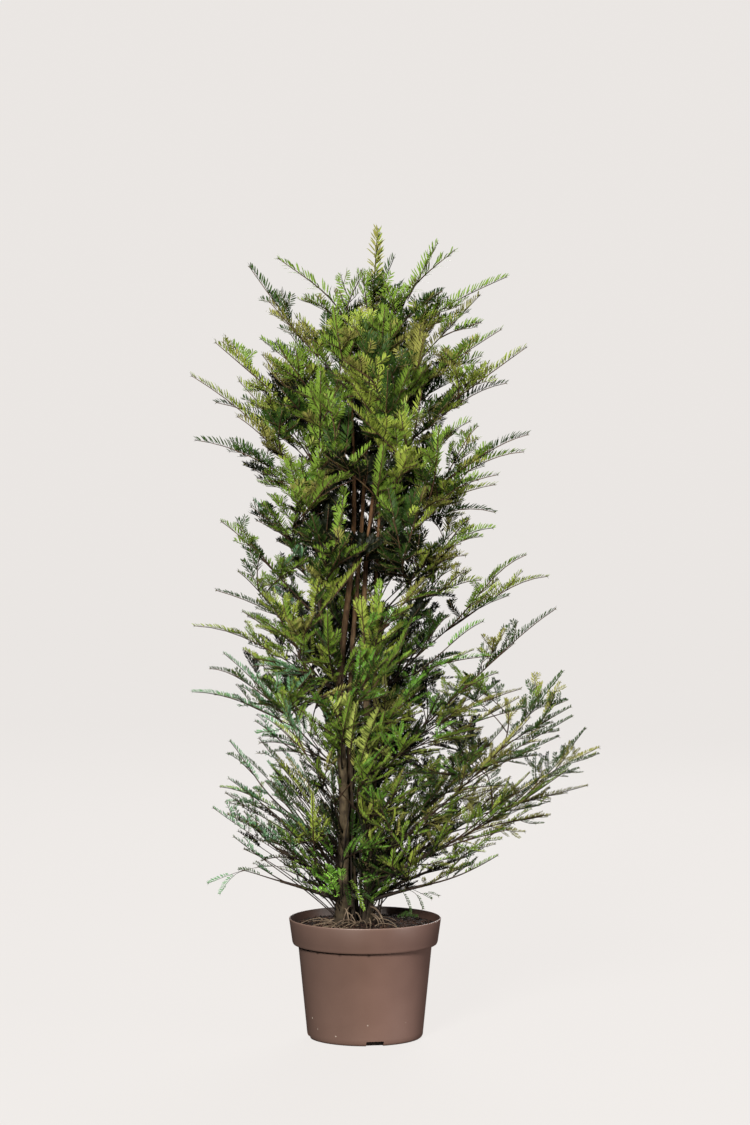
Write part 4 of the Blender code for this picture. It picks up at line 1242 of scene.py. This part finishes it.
def growTops():
    for name, (stem, tip) in tops.items():
        limb = stand[stem]
        found = growLong(limb.points[-1], limb.headings[-1], Vector(tip) - up * 0.006,
                         Random(name), 0.1, 0.0, 0.8, growth["axisRadius"], 0.3)
        retouch(scale=1.12, tint="Olive" if name == "leader" else "Mid")
        if name == "leader":
            shoot = found[0]
            crossed = shoot._replace(face=headingOn(shoot, 0.5).cross(shoot.face))
            grown.append(grown[-1]._replace(shoot=crossed, scale=1.05, tint="Yellow"))
        keepLong(found, None, 0.5, 0.1, 0.34)


def growLeaders(axes):
    for side, tips in leaders.items():
        for number, (x, z, rise, *depth) in enumerate(tips):
            draw = Random(f"{side} leader {number}")
            y = depth[0] if depth else draw.uniform(*growth["leaderDepth"])
            target = Vector((x * (1 + y / 6), y, z))
            if any(math.hypot(target.x - axis.end.x, target.z - axis.end.z)
                   < growth["twinRoom"] for axis in axes):
                continue
            span = spanOf(target)
            tier = max(0, min(8, sum(z > low + slope * span for low, slope in borders) - 1))
            _, upturn, bare, thin = waysOf(side, tier)
            found = growTo(target, rise, upturn * draw.uniform(0.5, 1.5), bare * 0.7, draw,
                           worst=growth["worstLeader"])
            keepLong(found, None, thin, upturn, 0.50 if z > 1.0 else 0.66)


def fillMasses(masses):
    for side, tier, compass, cell, draw in masses:
        rise, upturn, bare, thin = waysOf(side, tier)
        filled, half, sway = (crownSides[side][kind][tier] for kind in ("filled", "fan", "sway"))
        for _ in range(int(growth["tries"] * thin)):
            turn = math.radians(compass + draw.uniform(-half, half))
            span = cell.reach * filled * draw.uniform(0.42, 1.0)
            share = draw.uniform(0.06, 0.94)
            z = tierHeight(tier, span) * (1 - share) + tierHeight(tier + 1, span) * share
            target = Vector((crownAxis[0] + span * math.cos(turn),
                             crownAxis[1] + span * math.sin(turn), z))
            if (insideCell(cell, target, 0) and insideBox(target, growth["tipMargin"])
                    and not crowded(target, growth["tipRoom"]) and not inGap(target)):
                keepLong(growTo(target, rise + draw.uniform(-sway, sway), upturn, bare, draw),
                         cell, thin, upturn, 0.7)


def fillTop():
    draw = Random("top shoots")
    for _ in range(topShoots["tries"]):
        x, y = draw.uniform(*topShoots["x"]), draw.uniform(*topShoots["y"])
        height = draw.uniform(0.0, topShoots["height"])
        height *= 1 - abs(x - topShoots["middle"]) / topShoots["halfWidth"]
        target = Vector((x, y, topShoots["foot"] + height))
        if not crowded(target, topShoots["room"]):
            found = growTo(target, draw.uniform(*topShoots["rise"]), 0.0, topShoots["bare"], draw)
            keepLong(found, None, 0.9, 0.0, 0.62)


def growHeart():
    # short inner growth behind the stems, always in shade
    draw = Random("heart")
    for _ in range(heart["tries"]):
        target = Vector([draw.uniform(*reach) for reach in heart["reach"]])
        if crowded(target, heart["room"]) or inOpening(target):
            continue
        found = growTo(target, draw.uniform(*heart["rise"]), 0.0, heart["bare"], draw,
                       heart["radius"])
        if found:
            retouch(tint="Inner")
            keepLong((found[0], "Inner"), None, 1.0, 0.0, 0.8)


def growFiller(point, heading, length, draw):
    end = point + (heading + up * 0.25).normalized() * length
    if blocked(end, point.lerp(end, 0.6), fillers["room"], fillers["middleRoom"]):
        return
    shoot = shootTo(point, heading, end, 0.1, fillers["radius"], 0.0004,
                    faceTowards(heading, 0.4))
    tint = dealTint(end, draw)
    addShoot(shoot, 1, 0.10, 0.1, tint)
    growSides(shoot, 1, None, draw, tint)


def growBareTwig(start, heading, end, size, roundness, thin, draw):
    shoot, tint = growLong(start, heading, end, draw, draw.uniform(*size["bend"]),
                           draw.uniform(*size["bare"]), roundness, draw.uniform(*size["radius"]))
    growSides(shoot, 0, None, draw, tint, thin, 0.0, 0.9)


def growFootTwigs():
    # thin bare twigs that fan out from the stems' feet, green at their ends only
    size, draw = footTwigs, Random("foot twigs")
    for number in range(size["tries"]):
        left = number % 5 < 3
        compass = (180 if left else 0) + draw.uniform(*size["turn"])
        stem = draw.choice(["stem_left", "stem_middle"] if left else ["stem_right", "stem_back"])
        start = limbAt(stand[stem], draw.uniform(*size["foot"]))[0]
        heading = headingOf(compass, draw.uniform(*size["rise"]))
        length = draw.uniform(*size["length"])
        end = start + (heading + headingOf(compass, 20) * 0.35).normalized() * length
        if not insideBox(end, 0.02) or crowded(end, size["room"]) or belowSkirt(end - up * 0.02):
            continue
        growBareTwig(start, heading, end, size, 0.25, 0.4, draw)


def growSuckers():
    # bare young stems that rise between the feet of the old ones
    draw = Random("suckers")
    for number in range(suckers["count"]):
        size = suckers
        x, y = draw.uniform(*size["x"]), draw.uniform(*size["y"])
        if number % 3 == 0:
            size = slitSuckers
            x, y = draw.uniform(*size["x"]), draw.uniform(*size["y"])
        start = Vector((x, y, soilHeight(x, y) - 0.002))
        rise = draw.uniform(*size["rise"])
        compass = math.degrees(math.atan2(y - 0.01, x + 0.005)) + draw.uniform(-30, 30)
        end = start + headingOf(compass, rise) * draw.uniform(*size["length"])
        heading = headingOf(compass + draw.uniform(-60, 60), 78)
        growBareTwig(start, heading, end, size, 0.2, 0.6, draw)


def growSprigs():
    for number, (start, end, rise, compass, bare, tint, radius, size) in enumerate(sprigs):
        start, end = Vector(start), Vector(end)
        shoot = shootTo(start, headingOf(compass, rise), end, 0.0, radius,
                        face=faceTowards((end - start).normalized(), growth["turnToViewer"][2]))
        addShoot(shoot, 0, bare, 0.06, tint)
        retouch(scale=size)
        if bare < 0.9:
            growSides(shoot, 1, None, Random(f"sprig {number}"), tint, 0.8)


def growFillers(limbs):
    draw = Random("fillers")
    turn, count = fillers["turn"], fillers["onStems"]
    for number in range(count):
        share = number + draw.random()
        found = limbAt(draw.choice(limbs),
                       fillers["stemFrom"] + fillers["stemSpan"] * share / count)
        if found:
            heading = headingOf(number * turn, draw.uniform(*fillers["stemRise"]))
            growFiller(found[0], heading, draw.uniform(*fillers["stemLength"]), draw)
    for number in range(fillers["atFoot"]):
        stem = draw.choice(list(stand.values()))
        start = limbAt(stem, draw.uniform(*fillers["footFrom"]))[0]
        heading = headingOf(number * turn, draw.uniform(*fillers["footRise"]))
        growFiller(start, heading, draw.uniform(*fillers["footLength"]), draw)
    count = fillers["onBough"]
    for limb in boughLimbs.values():
        for number in range(count):
            ring = int(len(limb.points) * (0.3 + 0.65 * (number + draw.random()) / count))
            along = limb.headings[ring]
            upward, sideways = ringAxes(along)
            lean = math.radians(draw.uniform(*fillers["lean"]))
            side = 1 if number % 2 else -1
            outward = sideways * math.cos(lean) * side + upward * math.sin(lean)
            growFiller(limb.points[ring], (along * 1.1 + outward).normalized(),
                       draw.uniform(*fillers["boughLength"]), draw)


def growCrown():
    limbs = [*stand.values(), boughLimbs["limb_left"]]
    anchorLimbs()
    masses = growAxes(limbs)
    axes = [shoot for shoot, *_ in longShoots]
    growTops()
    growLeaders(axes)
    fillMasses(masses)
    fillTop()
    growHeart()
    print(f"{len(longShoots)} long shoots")
    for number, (shoot, tint, cell, thin, upturn, last) in enumerate(longShoots):
        wide = cell and cell._replace(reach=cell.reach + 0.004)
        growSides(shoot, 0, wide, Random(f"sides {number}"), tint, thin, upturn * 0.5, last)
    growSprigs()
    growSuckers()
    growFootTwigs()
    growFillers(limbs)


def unit(vectors):
    return vectors / np.maximum(np.linalg.norm(vectors, axis=1, keepdims=True), 1e-9)


def growNeedles(rows):
    # two ranks of flat needles along each shoot, swept forward and a little up
    ends = curvesOf([row.shoot for row in rows])
    face = np.array([row.shoot.face[:] for row in rows])
    bare, scale, roundness = (np.array([getattr(row, field) for row in rows])
                              for field in ("bare", "scale", "roundness"))
    lifts = np.array([needle["lifts"][row.order] for row in rows])
    broad = np.array([needle["shadeWidth"] if row.tint == "Inner" else 1.0 for row in rows])
    step = needle["step"] * (0.35 + 0.65 * scale)
    lengths = np.linalg.norm(ends[3] - ends[0], axis=1)
    pairs = np.maximum(3, (lengths * (1 - bare) / step).astype(int))
    counts = pairs * 2
    which = np.repeat(np.arange(len(rows)), counts)
    order = np.arange(counts.sum()) - np.repeat(np.cumsum(counts) - counts, counts)
    side = np.where(order % 2, 1.0, -1.0)
    share = (order // 2 + 0.5 + rng.uniform(-0.4, 0.4, len(order))) / pairs[which]
    share = np.clip(share, 0, 1)
    t = (bare[which] + (1 - bare[which]) * share)[:, None]
    points, along = curveAt(t, *[end[which] for end in ends])
    along = unit(along)
    above = unit(face[which] - along * (face[which] * along).sum(1, keepdims=True))
    beside = np.cross(along, above)
    lift = np.radians(90 - lifts[which] + rng.normal(0, 4, len(order)))
    turn = side * lift + rng.normal(0, 1, len(order)) * roundness[which] * 1.5
    outward = above * np.cos(turn)[:, None] + beside * np.sin(turn)[:, None]
    angle = np.radians(needle["baseAngle"] + (needle["tipAngle"] - needle["baseAngle"])
                       * share ** 1.6 + rng.normal(0, 3.5, len(order)))[:, None]
    aim = unit(along * np.cos(angle) + outward * np.sin(angle))
    # shorter at the shoot's foot and at its tip
    size = rng.uniform(*needle["length"], len(order)) * scale[which]
    size *= (0.62 + 0.38 * np.sin(np.minimum(share * 2.4, 1) * math.pi / 2))
    size *= 1 - 0.42 * np.clip((share - 0.72) / 0.28, 0, 1)
    size = size[:, None]
    flat = above + along * (0.25 + roundness[which][:, None] * 0.8)
    flat = flat + rng.normal(0, 0.14, flat.shape)
    flat = unit(flat - aim * (flat * aim).sum(1, keepdims=True))
    width = np.cross(aim, flat) * needle["halfWidth"] * (0.55 + 0.5 * scale[which][:, None])
    width *= broad[which][:, None]
    root = points + outward * 0.0006
    curl = flat * size * rng.uniform(0.02, 0.09, (len(order), 1))
    low = root + aim * size * 0.28 + curl * 0.7
    high = root + aim * size * 0.74 + curl * 0.6
    return np.stack([root, low + width, low - width, high + width * 0.85, high - width * 0.85,
                     root + aim * size - curl * 0.4], axis=1)


def makeBuds():
    # a tuft of short dark needles round the bud that ends each longer shoot
    points, faces = [], []
    blades = np.array([(0, 1, 2), (0, 3, 1), (0, 2, 3)])
    draw = Random("buds")
    for row in grown:
        if row.order > 1:
            continue
        along = headingOn(row.shoot, 1.0)
        first, second = ringAxes(along)
        for number in range(needle["tuft"]):
            turn = number * 2.4 + draw.uniform(0, 0.5)
            outward = first * math.cos(turn) + second * math.sin(turn)
            aim = (along * draw.uniform(0.6, 1.6) + outward).normalized()
            size = draw.uniform(*needle["tuftLength"]) * (1.1 if row.order == 0 else 0.8)
            root = row.shoot.end - along * 0.0008
            across = aim.cross(along).normalized() * 0.0008
            faces.append(blades + len(points))
            points += [root + aim * size, root + across, root - across, root + along * 0.0012]
    mesh = arrayMesh("budTufts", np.array([point[:] for point in points]), np.concatenate(faces))
    placePiece("budTufts", mesh, Paint("budTufts", needle["bud"], 0.6, 0.3).material, "needles")


def makeNeedles():
    blades = np.array([(0, 2, 1), (1, 2, 4), (1, 4, 3), (3, 4, 5)])
    shortBlades = np.array([(0, 2, 1), (1, 2, 3)])       # for the dark heart of the crown
    foliageNodes = sorted(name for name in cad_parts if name.startswith("foliage_"))
    total = 0
    for tint, colour in palette.items():
        rows = [row for row in grown if row.tint == tint]
        if not rows:
            continue
        shape, faces = growNeedles(rows), blades
        if tint == "Inner":
            shape, faces = shape[:, [0, 1, 2, 5]], shortBlades
        count, corners = shape.shape[:2]
        total += count
        material = Paint("needles" + tint, colour, 0.54, 0.16).material
        parts = math.ceil(count / needle["mostInPiece"])
        for part in range(parts):
            low, high = count * part // parts, count * (part + 1) // parts
            name = f"needles{tint}{part + 1}" if parts > 1 else f"needles{tint}"
            walls = faces[None] + (np.arange(high - low) * corners)[:, None, None]
            placePiece(name, arrayMesh(name, shape[low:high].reshape(-1, 3), walls.reshape(-1, 3)),
                       material, "needles", foliageNodes if tint == "Mid" and part == 0 else ())
        print(f"  {tint}: {len(rows)} shoots, {count} needles")
    print(f"{total} needles")


def makeTwigs():
    kinds = (("branchlets", 10, 4, youngBark), ("sideShoots", 4, 3, youngBark),
             ("lastShoots", 3, 3, greenTwig))
    for wanted, (name, rings, sides, material) in enumerate(kinds):
        shoots = [shoot for shoot, order in woody if order == wanted]
        placePiece(name, arrayMesh(name, *tubes(shoots, rings, sides)), material, "young_bark",
                   smooth=True)
        print(f"  {name}: {len(shoots)}")


growCrown()
makeTwigs()
makeBuds()
makeNeedles()
print("crown grown")


# stage, light and camera

stage = {
    "radius": 13.0, "bend": 4.0, "wall": 7.0, "drop": 0.0002, "colour": tone(236, 232, 229),
    "glow": 0.975, "camera": (0.017, -6.0, 1.127), "pitch": -3.0, "lens": 113,
    "worldColour": (1.0, 0.98, 0.92, 1), "worldLight": 0.022,
}
# each lamp's place, aim, size, power and colour
lamps = {
    "keyLight": ((-1.6, -5.6, 3.0), (0, 0, 0.72), 1.7, 840, (1.0, 0.98, 0.93)),
    "fillLight": ((4.4, -2.4, 0.9), (0, 0, 0.4), 2.0, 150, (1.0, 0.97, 0.93)),
    "backLight": ((0.8, 3.6, 2.8), (0, 0, 0.9), 2.4, 130, (1, 1, 1)),
}


def makeStage():
    paint = Paint("paleSweep", tuple(0.035 * c for c in stage["colour"]), 0.9, 0.05)
    paint.use("Emission Color", (*stage["colour"], 1))
    paint.use("Emission Strength", stage["glow"])
    radius, bend = stage["radius"], stage["bend"]
    profile = [(0, 0), (radius - bend, 0)]
    profile += [(radius - bend + bend * math.sin(turn * math.pi / 24),
                 bend - bend * math.cos(turn * math.pi / 24)) for turn in range(1, 13)]
    profile.append((radius, stage["wall"]))
    build = turned(profile, 96)
    for vert in build.verts:
        vert.co.z -= stage["drop"]
    mesh = meshOf("sweep", build)
    mesh.materials.append(paint.material)
    mesh.shade_smooth()
    sweep = addObject("sweep", mesh)
    sweep.visible_diffuse = False       # its glow is for the view, the lamps light the plant
    sweep.visible_glossy = False


def setLight():
    for name, (place, aim, size, power, colour) in lamps.items():
        light = bpy.data.lights.new(name, "AREA")
        light.shape = "DISK"
        light.size = size
        light.energy = power
        light.color = colour
        lamp = addObject(name, light)
        lamp.location = place
        lamp.rotation_euler = (Vector(aim) - Vector(place)).to_track_quat("-Z", "Y").to_euler()
    world = bpy.data.worlds.new("studio")
    world.use_nodes = True
    world.node_tree.nodes["Background"].inputs["Color"].default_value = stage["worldColour"]
    world.node_tree.nodes["Background"].inputs["Strength"].default_value = stage["worldLight"]
    bpy.context.scene.world = world
    bpy.context.scene.view_settings.view_transform = "Standard"


def setCamera():
    data = bpy.data.cameras.new("camera")
    data.lens = stage["lens"]
    data.sensor_width = 36
    data.clip_end = 60
    camera = addObject("camera", data)
    camera.location = stage["camera"]
    camera.rotation_euler = (math.radians(90 + stage["pitch"]), 0, 0)
    bpy.context.scene.camera = camera


makeStage()
setLight()
setCamera()
print("stage, light and camera set")
